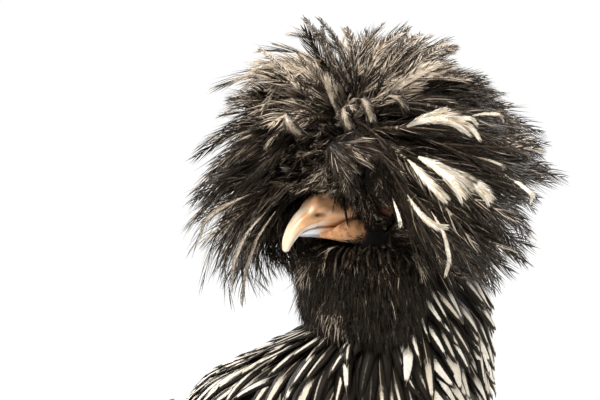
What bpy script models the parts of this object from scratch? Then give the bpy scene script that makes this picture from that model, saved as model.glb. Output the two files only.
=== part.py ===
"""Life-size polish crested hen, standing, her head turned to her right.

Metres, +Z up. She faces -Y, her left side is +X, and her feet stand on z = 0.
Each named part is one closed object that meets its neighbours across a gap of 0.3 mm.
"""
import math
import random

import bmesh
import bpy
import numpy as np
from mathutils import Vector
from mathutils.bvhtree import BVHTree

GAP = 0.0003
WELD = 0.000002
DOME_ANGLES = (math.radians(30), math.radians(58))
LEFT, RIGHT = 1, -1
SEED = 7
X, Y, Z = Vector((1, 0, 0)), Vector((0, 1, 0)), Vector((0, 0, 1))

# Torso stations from breast to rump: x, y, z, half width, reach up, reach down
TORSO = (
    (0.0, -0.064, 0.198, 0.056, 0.054, 0.060),
    (0.0, -0.022, 0.190, 0.070, 0.065, 0.076),
    (0.0, 0.030, 0.182, 0.070, 0.063, 0.072),
    (0.0, 0.076, 0.180, 0.055, 0.054, 0.056),
    (0.0, 0.108, 0.186, 0.035, 0.038, 0.038),
)
TORSO_CAPS = (0.040, 0.022)

# Neck stations, level rings from its root in the torso to the nape:
# x, y, z, half width, reach front, reach back
NECK = (
    (0.000, -0.030, 0.225, 0.050, 0.060, 0.050),
    (0.000, -0.036, 0.247, 0.055, 0.060, 0.056),
    (0.000, -0.044, 0.262, 0.050, 0.053, 0.050),
    (0.000, -0.057, 0.274, 0.040, 0.042, 0.038),
    (0.000, -0.067, 0.285, 0.0315, 0.0325, 0.0305),
    (-0.001, -0.067, 0.305, 0.0275, 0.0285, 0.0275),
)
NECK_CAPS = (0.020, 0.010)

# Head: place of the skull's centre and how far it turns to her right
SKULL = Vector((-0.0085, -0.0660, 0.3180))
HEAD_TURN = math.radians(108)

# Skull stations: forward, up, half width, half height
HEAD = (
    (-0.010, 0.001, 0.0125, 0.0135),
    (0.002, 0.001, 0.0148, 0.0150),
    (0.011, 0.000, 0.0112, 0.0122),
)
HEAD_CAPS = (0.010, 0.006)

# Upper and lower bill stations: forward, up, half width, reach up, reach down
BILL_UPPER = (
    (0.011, 0.0000, 0.0078, 0.0080, 0.0056),
    (0.020, 0.0012, 0.0070, 0.0078, 0.0062),
    (0.0272, 0.0008, 0.0056, 0.0060, 0.0056),
    (0.0313, -0.0010, 0.0046, 0.0040, 0.0040),
    (0.0341, -0.0024, 0.0038, 0.0030, 0.0032),
    (0.0366, -0.0044, 0.0030, 0.0021, 0.0029),
    (0.0383, -0.0068, 0.0024, 0.0017, 0.0024),
    (0.0393, -0.0092, 0.0018, 0.0014, 0.0017),
    (0.0398, -0.0112, 0.0011, 0.0009, 0.0011),
)
BILL_LOWER = (
    (0.011, -0.0068, 0.0062, 0.0034, 0.0026),
    (0.021, -0.0062, 0.0052, 0.0028, 0.0022),
    (0.029, -0.0058, 0.0042, 0.0022, 0.0016),
    (0.0335, -0.0059, 0.0028, 0.0014, 0.0011),
    (0.0350, -0.0061, 0.0017, 0.0009, 0.0007),
)
BILL_CAPS = (0.004, 0.0012)

# Nostril: forward, left, up and its radii
NOSTRIL = (0.0292, 0.0050, 0.0002)
NOSTRIL_RADII = (0.0020, 0.0014, 0.0009)

# Comb: a small V at the root of the bill, as left, up and radius from tip to tip
COMB = ((0.0056, 0.0150, 0.0008), (0.0034, 0.0112, 0.0016), (0.0, 0.0080, 0.0019),
        (-0.0034, 0.0112, 0.0016), (-0.0056, 0.0150, 0.0008))
COMB_FORWARD = 0.0205

# Ear lobe: forward, left, up and its radii
EAR = (-0.0065, 0.0138, -0.0055)
EAR_RADII = (0.0034, 0.0022, 0.0048)
EAR_CUP = (0.0030, 0.0016, 0.0016)

# Eyes and lids, in the head's own forward, left and up
EYE = (0.0035, 0.0118, 0.0022)
EYE_RADIUS = 0.0052
LID_RADIUS, LID_THICK = 0.0053, 0.0011

# Crest: the knob it grows from, the way its parting faces and the reach of its feathers
KNOB = (0.004, 0.0, 0.022)
KNOB_RADII = (0.024, 0.025, 0.020)
CREST_TILT = math.radians(47)
CREST_WIDE, CREST_TALL, CREST_HANG = 0.061, 0.042, 0.056
CREST_COUNT = 122
CREST_WIDTH = 0.0098
CREST_PROFILE = (0.55, 0.8, 1.0, 0.8)
CREST_THICK = (0.0017, 0.0016, 0.0014, 0.0010)
CREST_ROOM = 0.0018
CREST_SPREAD = math.radians(138)
PARTING = (math.radians(-12), math.radians(52))

# Beard outline under the bill: forward, up, half width, reach front, reach back
BEARD = (
    (0.004, -0.0095, 0.0215, 0.0250, 0.0140),
    (0.006, -0.0150, 0.0255, 0.0235, 0.0150),
    (0.008, -0.0250, 0.0265, 0.0200, 0.0150),
    (0.008, -0.0350, 0.0245, 0.0185, 0.0140),
    (0.006, -0.0440, 0.0190, 0.0140, 0.0110),
)
BEARD_CAPS = (0.003, 0.005)
BEARD_CORE = 0.62
BEARD_LOOSE = 0.0018
BEARD_TIERS = (0.02, 0.27, 0.52)
BEARD_ROW = 9
BEARD_TURN = math.radians(118)
BEARD_LENGTH = 0.5
BEARD_DROP = 0.030
LOCK_STATIONS = ((0.0, 0.42), (0.3, 0.80), (0.65, 0.93), (1.0, 1.04))
LOCK_HALVES = (0.0030, 0.0044, 0.0036)
LOCK_THICK = (0.0020, 0.0018, 0.0014)

# Wing core stations from shoulder to the roots of the quills: y, top, bottom, reach out, in
WING = (
    (-0.074, 0.226, 0.204, 0.002, 0.006),
    (-0.060, 0.238, 0.188, 0.004, 0.008),
    (-0.024, 0.240, 0.176, 0.003, 0.010),
    (0.012, 0.234, 0.178, 0.001, 0.009),
    (0.036, 0.224, 0.184, 0.000, 0.006),
)
WING_TIERS = (
    # count, first root y and z, last root y and z, lengths, slopes, width, reach out
    (4, (0.026, 0.191), (0.034, 0.174), (0.092, 0.078), (-3.0, -5.0), 0.0125, 0.0008),
    (7, (0.012, 0.230), (0.004, 0.183), (0.074, 0.076), (-25.0, -13.0), 0.0140, 0.0034),
    (6, (-0.022, 0.231), (-0.028, 0.187), (0.052, 0.054), (-26.0, -14.0), 0.0145, 0.0058),
    (5, (-0.049, 0.227), (-0.053, 0.193), (0.036, 0.038), (-26.0, -14.0), 0.0145, 0.0080),
)
WING_TILT = 0.15
QUILL_THICK = 0.0011
QUILL_SINK = -0.0012

# Along a quill: share of its length, share of its width and share of its reach out
QUILL_STATIONS = ((0.0, 0.45, 0.0), (0.3, 0.8, 1.0), (0.64, 1.0, 1.0), (0.88, 0.84, 1.0))

# Surface the wing feathers lie on: y, middle height, half width, half height
WING_SIDE = (
    (-0.085, 0.200, 0.052, 0.062),
    (-0.030, 0.192, 0.0715, 0.080),
    (0.030, 0.184, 0.0715, 0.080),
    (0.080, 0.180, 0.061, 0.070),
    (0.130, 0.178, 0.046, 0.058),
)

# Tail: root, rise of its ridge, and per tier the count a side, the lengths and the rises of
# the first and the last in degrees, width, reach out
TAIL_ROOT = Vector((0.0, 0.104, 0.200))
TAIL_RISE = 20.0
TAIL_TIERS = (
    (6, (0.118, 0.098), (19.0, -20.0), 0.029, 0.0030),
    (4, (0.072, 0.062), (21.0, -21.0), 0.028, 0.0062),
)
TAIL_TENT = 0.24
TAIL_TILT = 0.10
TAIL_START = 0.006

# Core of the tail: x, y, z, half width, reach up, reach down
TAIL_CORE = (
    (0.0, 0.098, 0.197, 0.022, 0.022, 0.024),
    (0.0, 0.118, 0.197, 0.018, 0.020, 0.024),
    (0.0, 0.138, 0.197, 0.011, 0.016, 0.021),
)
TAIL_CORE_CAPS = (0.006, 0.008)

# Leg joints, for the left leg: x, y, z
KNEE = Vector((0.040, -0.006, 0.140))
HOCK = Vector((0.043, 0.034, 0.090))
ANKLE = Vector((0.045, 0.012, 0.014))
THIGH_RADII = (0.030, 0.025, 0.0120, 0.0085)
SHANK_RADII = (0.0064, 0.0050, 0.0050, 0.0062)
PAD_RADII = (0.0086, 0.0092, 0.0078)
PAD_HEIGHT = 0.0062

# Where the toes meet ahead of the ankle, how far from there they start, the step at their
# joints and the depth of the flat they stand on
TOES_AHEAD = 0.003
TOE_START = 0.005
TOE_JOINTS = (-0.0003, 0.0004)
TOE_FLAT = 0.0005

# Along a claw: share of its length, radius and height of its middle
CLAW_ROWS = ((0.0, 0.0021, 0.0034), (0.4, 0.0018, 0.0036), (0.75, 0.0011, 0.0024), (1.0, 0.0005, 0.0007))

# Toes: name, turn outwards in degrees, length, radius at root, radius at tip, claw length
TOES = (
    ("hind", 160.0, 0.024, 0.0038, 0.0030, 0.010),
    ("inner", -30.0, 0.041, 0.0042, 0.0030, 0.011),
    ("middle", 2.0, 0.055, 0.0044, 0.0031, 0.012),
    ("outer", 34.0, 0.044, 0.0042, 0.0029, 0.010),
)


def clear_scene():
    for obj in list(bpy.data.objects):
        bpy.data.objects.remove(obj, do_unlink=True)


def material(name, colour, roughness, metallic=0.0):
    made = bpy.data.materials.new(name)
    made.use_nodes = True
    shader = made.node_tree.nodes["Principled BSDF"]
    shader.inputs["Base Color"].default_value = (*colour, 1.0)
    shader.inputs["Roughness"].default_value = roughness
    shader.inputs["Metallic"].default_value = metallic
    return made


def make_object(name, points, faces, finish=None):
    """One mesh object whose faces point out."""
    mesh = bpy.data.meshes.new(name)
    mesh.from_pydata([tuple(p) for p in points], [], faces)
    shape = bmesh.new()
    shape.from_mesh(mesh)
    bmesh.ops.recalc_face_normals(shape, faces=shape.faces)
    shape.to_mesh(mesh)
    shape.free()
    obj = bpy.data.objects.new(name, mesh)
    bpy.context.scene.collection.objects.link(obj)
    if finish is not None:
        mesh.materials.append(finish)
    return obj


def head_axes():
    """Forward, left and up of the turned head."""
    forward = Vector((-math.sin(HEAD_TURN), -math.cos(HEAD_TURN), 0.0))
    return forward, Z.cross(forward), Z


def head_point(f, l, u):
    """A point given forward, left and up of the skull's centre."""
    forward, left, up = head_axes()
    return SKULL + forward * f + left * l + up * u


def head_rows(rows):
    """Rows of forward, up and sizes as rows of x, y, z and sizes."""
    made = []
    for f, u, half, *reach in rows:
        up, down = (reach * 2)[:2]
        made.append((*head_point(f, 0.0, u), half, up, down))
    return made


def smooth_rows(rows, count):
    """Rows of numbers resampled along a smooth curve through them."""
    rows = np.array(rows, float)
    last = len(rows) - 1
    made = []
    for s in np.linspace(0, last, count):
        i = min(int(s), last - 1)
        t = s - i
        a, b = rows[max(i - 1, 0)], rows[i]
        c, d = rows[i + 1], rows[min(i + 2, last)]
        bend = 2 * a - 5 * b + 4 * c - d
        made.append(0.5 * (2 * b + (c - a) * t + bend * t ** 2 + (3 * b - a - 3 * c + d) * t ** 3))
    return np.array(made)


def ring(centre, side, up, half, reach_up, reach_down, count):
    """Points of an egg-shaped ring round a centre."""
    points = []
    for k in range(count):
        angle = 2 * math.pi * k / count
        reach = reach_up if math.sin(angle) > 0 else reach_down
        points.append(centre + side * (half * math.cos(angle)) + up * (reach * math.sin(angle)))
    return points


def loft(name, rows, caps, side, rings, sides, grow=0.0, finish=None, lean=None):
    """A closed tube through rows of x, y, z, half width, reach up and reach down.

    Up is side x ahead, where ahead follows the rows or is the given lean, and each end
    is a dome as long as its cap.
    """
    rows = smooth_rows(rows, rings)
    centres = [Vector(r[:3]) for r in rows]
    stack = []
    tips = []
    for i in range(rings):
        ahead = lean or (centres[min(i + 1, rings - 1)] - centres[max(i - 1, 0)]).normalized()
        up = side.cross(ahead).normalized()
        sizes = [v + grow for v in rows[i][3:6]]
        body = ring(centres[i], side, up, *sizes, sides)
        if i not in (0, rings - 1):
            stack.append(body)
            continue
        sign, cap = (-1, caps[0]) if i == 0 else (1, caps[1])
        dome = [body]
        for angle in DOME_ANGLES if sides > 10 else DOME_ANGLES[-1:]:
            centre = centres[i] + ahead * (sign * (cap + grow) * math.sin(angle))
            small = [v * math.cos(angle) for v in sizes]
            dome.append(ring(centre, side, up, *small, sides))
        stack += dome[::-1] if i == 0 else dome
        tips.append(centres[i] + ahead * (sign * (cap + grow)))
    return close_rings(name, stack, *tips, finish)


def close_rings(name, stack, first_tip, last_tip, finish=None):
    """Closes a stack of like rings with a point at each end."""
    sides = len(stack[0])
    points = [p for loop in stack for p in loop] + [first_tip, last_tip]
    faces = []
    for i in range(len(stack) - 1):
        for k in range(sides):
            n = (k + 1) % sides
            low, high = i * sides, (i + 1) * sides
            faces.append((low + k, low + n, high + n, high + k))
    first, last = len(points) - 2, len(points) - 1
    top = (len(stack) - 1) * sides
    for k in range(sides):
        n = (k + 1) % sides
        faces.append((first, n, k))
        faces.append((last, top + k, top + n))
    return make_object(name, points, faces, finish)


def vane(stations, tip):
    """One closed vane. Each station holds its left edge, the ridge of its shaft and its right edge."""
    points = [p for station in stations for p in station] + [tip]
    faces = [(0, 1, 2)]
    last = 3 * len(stations) - 3
    for left in range(0, last, 3):
        ridge, right = left + 1, left + 2
        faces += [(left, ridge, ridge + 3), (left, ridge + 3, left + 3)]
        faces += [(right, ridge, ridge + 3), (right, ridge + 3, right + 3)]
        faces += [(left, right, right + 3), (left, right + 3, left + 3)]
    faces += [(last + k, last + (k + 1) % 3, last + 3) for k in range(3)]
    return make_object("vane", points, faces)


def bent_vane(path, outs, half_widths, thick, twist=0.0):
    """A vane along a path of points that lies flat under its out directions."""
    stations = []
    for i in range(len(path) - 1):
        ahead = (path[i + 1] - path[max(i - 1, 0)]).normalized()
        across = ahead.cross(outs[i]).normalized()
        out = across.cross(ahead)
        across, out = (across * math.cos(twist) + out * math.sin(twist),
                       out * math.cos(twist) - across * math.sin(twist))
        wide = across * half_widths[i]
        stations.append((path[i] - wide, path[i] + out * thick[i], path[i] + wide))
    return vane(stations, path[-1])


def curve_points(start, control, end, shares):
    """Points along a curve that starts towards its control point and stops at its end."""
    return [start * (1 - t) ** 2 + control * (2 * t * (1 - t)) + end * t ** 2 for t in shares]


def tree_of(obj):
    """A search tree of an object's surface; the object is removed."""
    points = [v.co.copy() for v in obj.data.vertices]
    tree = BVHTree.FromPolygons(points, [tuple(p.vertices) for p in obj.data.polygons])
    bpy.data.objects.remove(obj, do_unlink=True)
    return tree


def clear_of(point, trees, room):
    """The point, moved out of neighbouring shapes by at least a room."""
    for tree in trees:
        place, normal, _, _ = tree.find_nearest(point)
        short = room - (point - place).dot(normal)
        if short > 0:
            point = point + normal * short
    return point


def apply_boolean(obj, operation, others, solver="EXACT"):
    """Joins or cuts obj with closed meshes, applies the result and removes them."""
    group = bpy.data.collections.new("operands")
    bpy.context.scene.collection.children.link(group)
    for other in others:
        bpy.context.scene.collection.objects.unlink(other)
        group.objects.link(other)
    modifier = obj.modifiers.new("fuse", "BOOLEAN")
    modifier.operation = operation
    modifier.operand_type = "COLLECTION"
    modifier.collection = group
    modifier.solver = solver
    graph = bpy.context.evaluated_depsgraph_get()
    mesh = bpy.data.meshes.new_from_object(obj.evaluated_get(graph))
    obj.modifiers.clear()
    obj.data = mesh
    for other in others:
        bpy.data.objects.remove(other, do_unlink=True)
    bpy.data.collections.remove(group)
    return obj


def keep_largest(obj):
    """Keeps only the largest closed surface of an object's mesh."""
    shape = bmesh.new()
    shape.from_mesh(obj.data)
    bmesh.ops.remove_doubles(shape, verts=shape.verts, dist=WELD)
    left_over = set(shape.faces)
    islands = []
    while left_over:
        stack = [left_over.pop()]
        island = set(stack)
        while stack:
            for edge in stack.pop().edges:
                for face in edge.link_faces:
                    if len(edge.link_faces) == 2 and face in left_over:
                        left_over.discard(face)
                        island.add(face)
                        stack.append(face)
        islands.append(island)
    islands.sort(key=spread_of, reverse=True)
    extra = [face for island in islands[1:] for face in island]
    bmesh.ops.delete(shape, geom=extra, context="FACES")
    shape.to_mesh(obj.data)
    shape.free()
    return obj


def spread_of(island):
    """Length of the diagonal round a set of faces."""
    places = np.array([vert.co for face in island for vert in face.verts])
    return float(np.linalg.norm(places.max(0) - places.min(0)))


def fuse(obj, others, solver="EXACT"):
    return apply_boolean(obj, "UNION", others, solver)


def cut(obj, others, solver="EXACT"):
    return keep_largest(apply_boolean(obj, "DIFFERENCE", others, solver))


def shade(obj, angle=40):
    obj.data.shade_smooth()
    obj.data.set_sharp_from_angle(angle=math.radians(angle))
    return obj


def centre_over_origin():
    """Moves all parts so that their common box is centred over the origin."""
    parts = [obj for obj in bpy.data.objects if obj.type == "MESH"]
    corners = np.array([v.co[:2] for obj in parts for v in obj.data.vertices])
    middle = (corners.min(0) + corners.max(0)) / 2
    for obj in parts:
        for vert in obj.data.vertices:
            vert.co.x -= middle[0]
            vert.co.y -= middle[1]


def torso(grow=0.0, finish=None):
    return loft("torso", TORSO, TORSO_CAPS, X, 9, 20, grow, finish)


def neck(grow=0.0, finish=None):
    return loft("neck", NECK, NECK_CAPS, X, 9, 18, grow, finish, Z)


def skull(grow=0.0, finish=None):
    return loft("head", head_rows(HEAD), HEAD_CAPS, -head_axes()[1], 5, 16, grow, finish)


def bill_upper(grow=0.0, finish=None):
    side = -head_axes()[1]
    return loft("beak_upper", head_rows(BILL_UPPER), BILL_CAPS, side, 10, 12, grow, finish)


def bill_lower(grow=0.0, finish=None):
    side = -head_axes()[1]
    return loft("beak_lower", head_rows(BILL_LOWER), BILL_CAPS, side, 5, 10, grow, finish)


def beard_outline(grow=0.0, share=1.0, finish=None):
    """The beard's smooth outline, or its core at a share of the size."""
    rows = [(f, u, *(v * share for v in reach)) for f, u, *reach in BEARD]
    side = -head_axes()[1]
    return loft("beard", head_rows(rows), BEARD_CAPS, side, 6, 14, grow, finish)


def eyeball(side, grow=0.0, finish=None):
    f, l, u = EYE
    centre = head_point(f, l * side, u)
    name = "eye_left" if side == LEFT else "eye_right"
    return ball(name, centre, (EYE_RADIUS + grow,) * 3, 10, 6, finish)


def ball(name, centre, radii, sides, rings, finish=None, axes=(X, Y, Z)):
    """An ellipsoid with its poles on the third axis."""
    stack = []
    for i in range(1, rings):
        angle = math.pi * i / rings - math.pi / 2
        middle = centre + axes[2] * (radii[2] * math.sin(angle))
        width = math.cos(angle)
        stack.append(ring(middle, axes[0], axes[1], radii[0] * width,
                          radii[1] * width, radii[1] * width, sides))
    low, high = centre - axes[2] * radii[2], centre + axes[2] * radii[2]
    return close_rings(name, stack, low, high, finish)


def lids(side, grow=0.0):
    """A raised ring of bare skin round the eye."""
    f, l, u = EYE
    forward, left, up = head_axes()
    centre = head_point(f, (l + 0.0022) * side, u)
    count, around = 12, 5
    points = []
    for k in range(count):
        turn = 2 * math.pi * k / count
        out = forward * math.cos(turn) + up * math.sin(turn)
        middle = centre + out * LID_RADIUS
        for j in range(around):
            roll = 2 * math.pi * j / around
            bulge = out * math.cos(roll) + left * (side * 1.5 * math.sin(roll))
            points.append(middle + bulge * (LID_THICK + grow))
    faces = []
    for k in range(count):
        for j in range(around):
            n, m = (k + 1) % count, (j + 1) % around
            faces.append((k * around + j, n * around + j, n * around + m, k * around + m))
    return make_object("lid", points, faces)


def comb(grow=0.0, finish=None):
    """The small V-shaped comb."""
    rows = []
    for left, up, radius in COMB:
        rows.append((*head_point(COMB_FORWARD, left, up), radius, radius, radius))
    return loft("comb", rows, (0.001, 0.001), head_axes()[0], 7, 6, grow, finish)


def ear(side, grow=0.0, finish=None):
    """An ear lobe at the back of the cheek."""
    f, l, u = EAR
    name = "ear_left" if side == LEFT else "ear_right"
    radii = [r + grow for r in EAR_RADII]
    return ball(name, head_point(f, l * side, u), radii, 10, 6, finish, head_axes())


def build_ear(side, finish):
    """The lobe with the shallow cup of the ear in its outer side."""
    f, l, u = EAR
    lobe = ear(side, finish=finish)
    out, up, radius = EAR_CUP
    cup = ball("cup", head_point(f, (l + out) * side, u + up), (radius,) * 3, 7, 4)
    return shade(cut(lobe, [skull(GAP), cup]))


def build_bill(finish):
    """Upper bill with its nostrils, and the lower bill up to the line of the mouth."""
    f, l, u = NOSTRIL
    upper = bill_upper(finish=finish)
    pits = [ball("nostril", head_point(f, l * side, u), NOSTRIL_RADII, 8, 5, None, head_axes())
            for side in (LEFT, RIGHT)]
    shade(cut(upper, [skull(GAP)] + pits))
    shade(cut(bill_lower(finish=finish), [skull(GAP), bill_upper(GAP)]))


def face():
    """Cutters for what lies round the bare parts of the head."""
    made = [skull(GAP), bill_upper(GAP), bill_lower(GAP), comb(GAP)]
    for side in (LEFT, RIGHT):
        made += [eyeball(side, GAP), lids(side, GAP), ear(side, GAP)]
    return made


def build_head(finish):
    """Skull with lids, eye sockets and hollow gape."""
    head = skull(finish=finish)
    fuse(head, [lids(LEFT), lids(RIGHT)])
    cut(head, [eyeball(LEFT, GAP), eyeball(RIGHT, GAP)])
    return shade(head)


def crest_way(n, around, droop):
    """Way from the knob to a feather's tip, forward, left and up."""
    way = n.copy()
    near_side = max(0.0, math.sin(around - 0.2))
    far_side = max(0.0, -math.sin(around + 0.1))
    way.x += 0.30 * far_side - 0.75 * near_side
    way.z -= droop * (1.0 + 1.2 * far_side)
    return way.normalized()


def crest_reach(way):
    """Distance from the knob's middle to the crest's outline along a way."""
    flat = math.hypot(way.x, way.y) / CREST_WIDE
    fuller = 1.7 + 0.35 * max(-1.0, min(1.0, 3 * way.x))
    tall, power = (CREST_TALL, fuller) if way.z > 0 else (CREST_HANG, 3.0)
    longer = 1.0 + 0.18 * max(0.0, -way.y)
    return longer * (flat ** power + (abs(way.z) / tall) ** power) ** (-1 / power)


def crest_roots(count, draw):
    """Feather roots on the knob, as unit ways and turns round the parting's pole."""
    pole = Vector((math.cos(CREST_TILT), 0.0, math.sin(CREST_TILT)))
    ahead = Vector((math.sin(CREST_TILT), 0.0, -math.cos(CREST_TILT)))
    golden = math.pi * (3 - math.sqrt(5))
    for i in range(count):
        lean = math.acos(1 - (1 - math.cos(CREST_SPREAD)) * (i + 0.5) / count)
        around = (i * golden + draw.uniform(-0.1, 0.1) + math.pi) % (2 * math.pi) - math.pi
        parting = PARTING[0] < around < PARTING[1] and lean > 0.5
        if parting and lean > math.radians(84):
            continue
        out = ahead * math.cos(around) + Y * math.sin(around)
        yield pole * math.cos(lean) + out * math.sin(lean), lean, around, parting


def crest_vane(n, lean, around, parting, trees, draw):
    """One crest feather from the knob out to the crest's outline."""
    knob = Vector(KNOB)
    root = knob + Vector([r * v for r, v in zip(KNOB_RADII, n)])
    start = knob.lerp(root, 0.8)
    if parting:
        length = draw.uniform(0.013, 0.020)
        end = root + (n + Vector((0, draw.uniform(-0.6, 0.6), -0.25))).normalized() * length
        wide = CREST_WIDTH * 0.38
    else:
        way = crest_way(n, around, 0.42 * math.sin(lean) * draw.uniform(0.6, 1.3))
        end = knob + way * (crest_reach(way) * draw.uniform(0.86, 1.02))
        wide = CREST_WIDTH * 0.5 * draw.uniform(0.85, 1.1)
    control = root + n * ((end - root).length * 0.42)
    shares = (0.0, 0.6, 1.0) if parting else (0.0, 0.32, 0.62, 0.85, 1.0)
    path = [head_point(*p) for p in curve_points(start, control, end, shares)]
    path = path[:1] + [clear_of(p, trees, CREST_ROOM) for p in path[1:]]
    middle = head_point(*KNOB)
    outs = [(p - middle).normalized() for p in path]
    widths = [wide * v for v in CREST_PROFILE]
    return bent_vane(path, outs, widths, CREST_THICK, draw.uniform(-0.4, 0.4))


def build_crest(finish):
    """The crest, feather by feather, on a knob over the skull."""
    draw = random.Random(SEED)
    neighbours = (skull(), neck(), beard_outline(BEARD_LOOSE), bill_upper(), bill_lower())
    trees = [tree_of(part) for part in neighbours]
    crest = ball("crest", head_point(*KNOB), KNOB_RADII, 14, 8, finish, head_axes())
    roots = crest_roots(CREST_COUNT, draw)
    fuse(crest, [crest_vane(*root, trees, draw) for root in roots], "MANIFOLD")
    others = face() + [neck(GAP), beard_outline(BEARD_LOOSE)]
    return shade(cut(crest, others, "MANIFOLD"), 30)


def beard_point(share, angle, out):
    """A point on the beard: share down it, angle from its front, out 1 at its outline."""
    rows = smooth_rows(head_rows(BEARD), 41)
    x, y, z, half, front, back = rows[round(40 * share)]
    forward, left, _ = head_axes()
    reach = front if math.cos(angle) > 0 else back
    flat = left * (half * math.sin(angle)) + forward * (reach * math.cos(angle))
    return Vector((x, y, z)) + flat * out


def beard_lock(share, angle, draw):
    """One lock from the beard's core down to its outline, under the locks above it."""
    length = BEARD_LENGTH * draw.uniform(0.9, 1.1)
    path, outs = [], []
    reach = draw.uniform(0.96, 1.04)
    for t, out in LOCK_STATIONS:
        down = share + length * t
        place = beard_point(min(1.0, down), angle * (1 + 0.06 * t), out * reach if t == 1.0 else out)
        path.append(place - Z * BEARD_DROP * max(0.0, down - 1.0))
        outs.append(beard_point(min(1.0, down), angle, 1.0) - beard_point(min(1.0, down), angle, 0.0))
    outs = [v.normalized() for v in outs]
    return bent_vane(path, outs, LOCK_HALVES, LOCK_THICK, draw.uniform(-0.12, 0.12))


def build_beard(finish):
    """Beard and muffs as flat tapered locks that fall over one another."""
    draw = random.Random(SEED + 1)
    locks = []
    for tier, share in enumerate(BEARD_TIERS):
        for k in range(BEARD_ROW):
            angle = BEARD_TURN * (2 * (k + 0.5 * (tier % 2)) / (BEARD_ROW - 0.5) - 1)
            locks.append(beard_lock(share, angle + draw.uniform(-0.05, 0.05), draw))
    beard = beard_outline(share=BEARD_CORE, finish=finish)
    fuse(beard, locks, "MANIFOLD")
    outside = cut(neck(GAP), [beard_outline()])
    return shade(cut(beard, face() + [outside, torso(GAP)], "MANIFOLD"), 30)


def wing_core(side, finish):
    """The smooth front of a folded wing, which its quills grow from."""
    stack = []
    heights = 6
    for y, top, bottom, out, back in smooth_rows(WING, 8):
        outer, inner = [], []
        for i in range(heights):
            share = i / (heights - 1)
            z = top + (bottom - top) * share
            bulge = out * (0.35 + 0.65 * math.sin(math.pi * share))
            outer.append(wing_point(side, y, z, bulge))
            inner.append(wing_point(side, y, z, -back))
        stack.append(outer + inner[::-1])
    first, last = [sum(loop, Vector()) / len(loop) for loop in (stack[0], stack[-1])]
    name = "wing_left" if side == LEFT else "wing_right"
    return close_rings(name, stack, first - Y * 0.003, last + Y * 0.003, finish)


def quill(surface, root, way, length, wide, out, tilt, thick):
    """One flight feather on a surface of two coordinates; its lower edge lies outermost."""
    lower = Vector((way.y, -way.x))
    stations = []
    for share, width, lift in QUILL_STATIONS:
        place = root + way * (length * share)
        half = wide * width / 2
        reach = QUILL_SINK + (out - QUILL_SINK) * lift
        lean = tilt * half * lift
        high, low = place - lower * half, place + lower * half
        stations.append((surface(high.x, high.y, reach - lean), surface(place.x, place.y, reach + thick),
                         surface(low.x, low.y, reach + lean)))
    tip = root + way * length
    return vane(stations, surface(tip.x, tip.y, out))


def steps(first, last, count):
    """Evenly spaced values or tuples from first to last."""
    first, last = np.array(first), np.array(last)
    return [first + (last - first) * i / (count - 1) for i in range(count)]


def build_wing(side, finish):
    """One folded wing: primaries, secondaries and two tiers of coverts over them."""
    draw = random.Random(SEED + 2)
    quills = []
    for count, first, last, lengths, slopes, wide, out in WING_TIERS:
        for root, length, slope in zip(steps(first, last, count), steps(*lengths, count), steps(*slopes, count)):
            angle = math.radians(slope + draw.uniform(-1, 1))
            way = Vector((math.cos(angle), math.sin(angle)))
            length *= draw.uniform(0.97, 1.03)
            quills.append(quill(lambda y, z, reach: wing_point(side, y, z, reach), Vector(root), way,
                                length, wide, out, WING_TILT, QUILL_THICK))
    wing = wing_core(side, finish)
    fuse(wing, quills, "MANIFOLD")
    return shade(cut(wing, [torso(GAP), neck(GAP), thigh(side, GAP)], "MANIFOLD"), 30)


def wing_point(side, y, z, out):
    """A point on the surface the wing feathers lie on, or a reach out of it."""
    rows = np.array(WING_SIDE)
    middle, wide, tall = [np.interp(y, rows[:, 0], rows[:, k]) for k in (1, 2, 3)]
    height = max(-0.98, min(0.98, (z - middle) / tall))
    across = wide * math.sqrt(1 - height ** 2)
    slope = Vector((across / wide ** 2, 0.0, (z - middle) / tall ** 2)).normalized()
    return Vector(((across + slope.x * out) * side, y, z + slope.z * out))


def tail_point(side, y, z, out):
    """A point on one side of the tented tail, or a reach out of it."""
    ridge = Vector((math.cos(math.radians(TAIL_RISE)), math.sin(math.radians(TAIL_RISE))))
    reach = Vector((y, z)) - TAIL_ROOT.yz
    below = max(0.0, reach.x * ridge.y - reach.y * ridge.x)
    return Vector(((below * TAIL_TENT + out) * side, y, z))


def build_tail(finish):
    """The tail: two leaning fans of quills with two tiers of coverts at their roots."""
    draw = random.Random(SEED + 3)
    quills = []
    for count, lengths, rises, wide, out in TAIL_TIERS:
        for side in (LEFT, RIGHT):
            for length, rise in zip(steps(*lengths, count), steps(*rises, count)):
                angle = math.radians(rise + draw.uniform(-1, 1))
                way = Vector((math.cos(angle), math.sin(angle)))
                root = TAIL_ROOT.yz + way * TAIL_START
                length = length * draw.uniform(0.97, 1.03)
                quills.append(quill(lambda y, z, reach: tail_point(side, y, z, reach), root, way,
                                    length, wide, out, TAIL_TILT, QUILL_THICK))
    tail = loft("tail", TAIL_CORE, TAIL_CORE_CAPS, X, 6, 14, finish=finish)
    fuse(tail, quills, "MANIFOLD")
    return shade(cut(tail, [torso(GAP)], "MANIFOLD"), 30)


def thigh(side, grow=0.0, finish=None):
    """Feathered upper leg, from the torso down to the hock."""
    name = "thigh_left" if side == LEFT else "thigh_right"
    rows = []
    for share, radius in zip((0.0, 0.35, 0.82, 1.0), THIGH_RADII):
        place = KNEE.lerp(HOCK, share)
        rows.append((place.x * side, place.y, place.z, radius * 0.85, radius, radius))
    return loft(name, rows, (0.02, 0.006), X, 6, 12, grow, finish)


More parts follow.
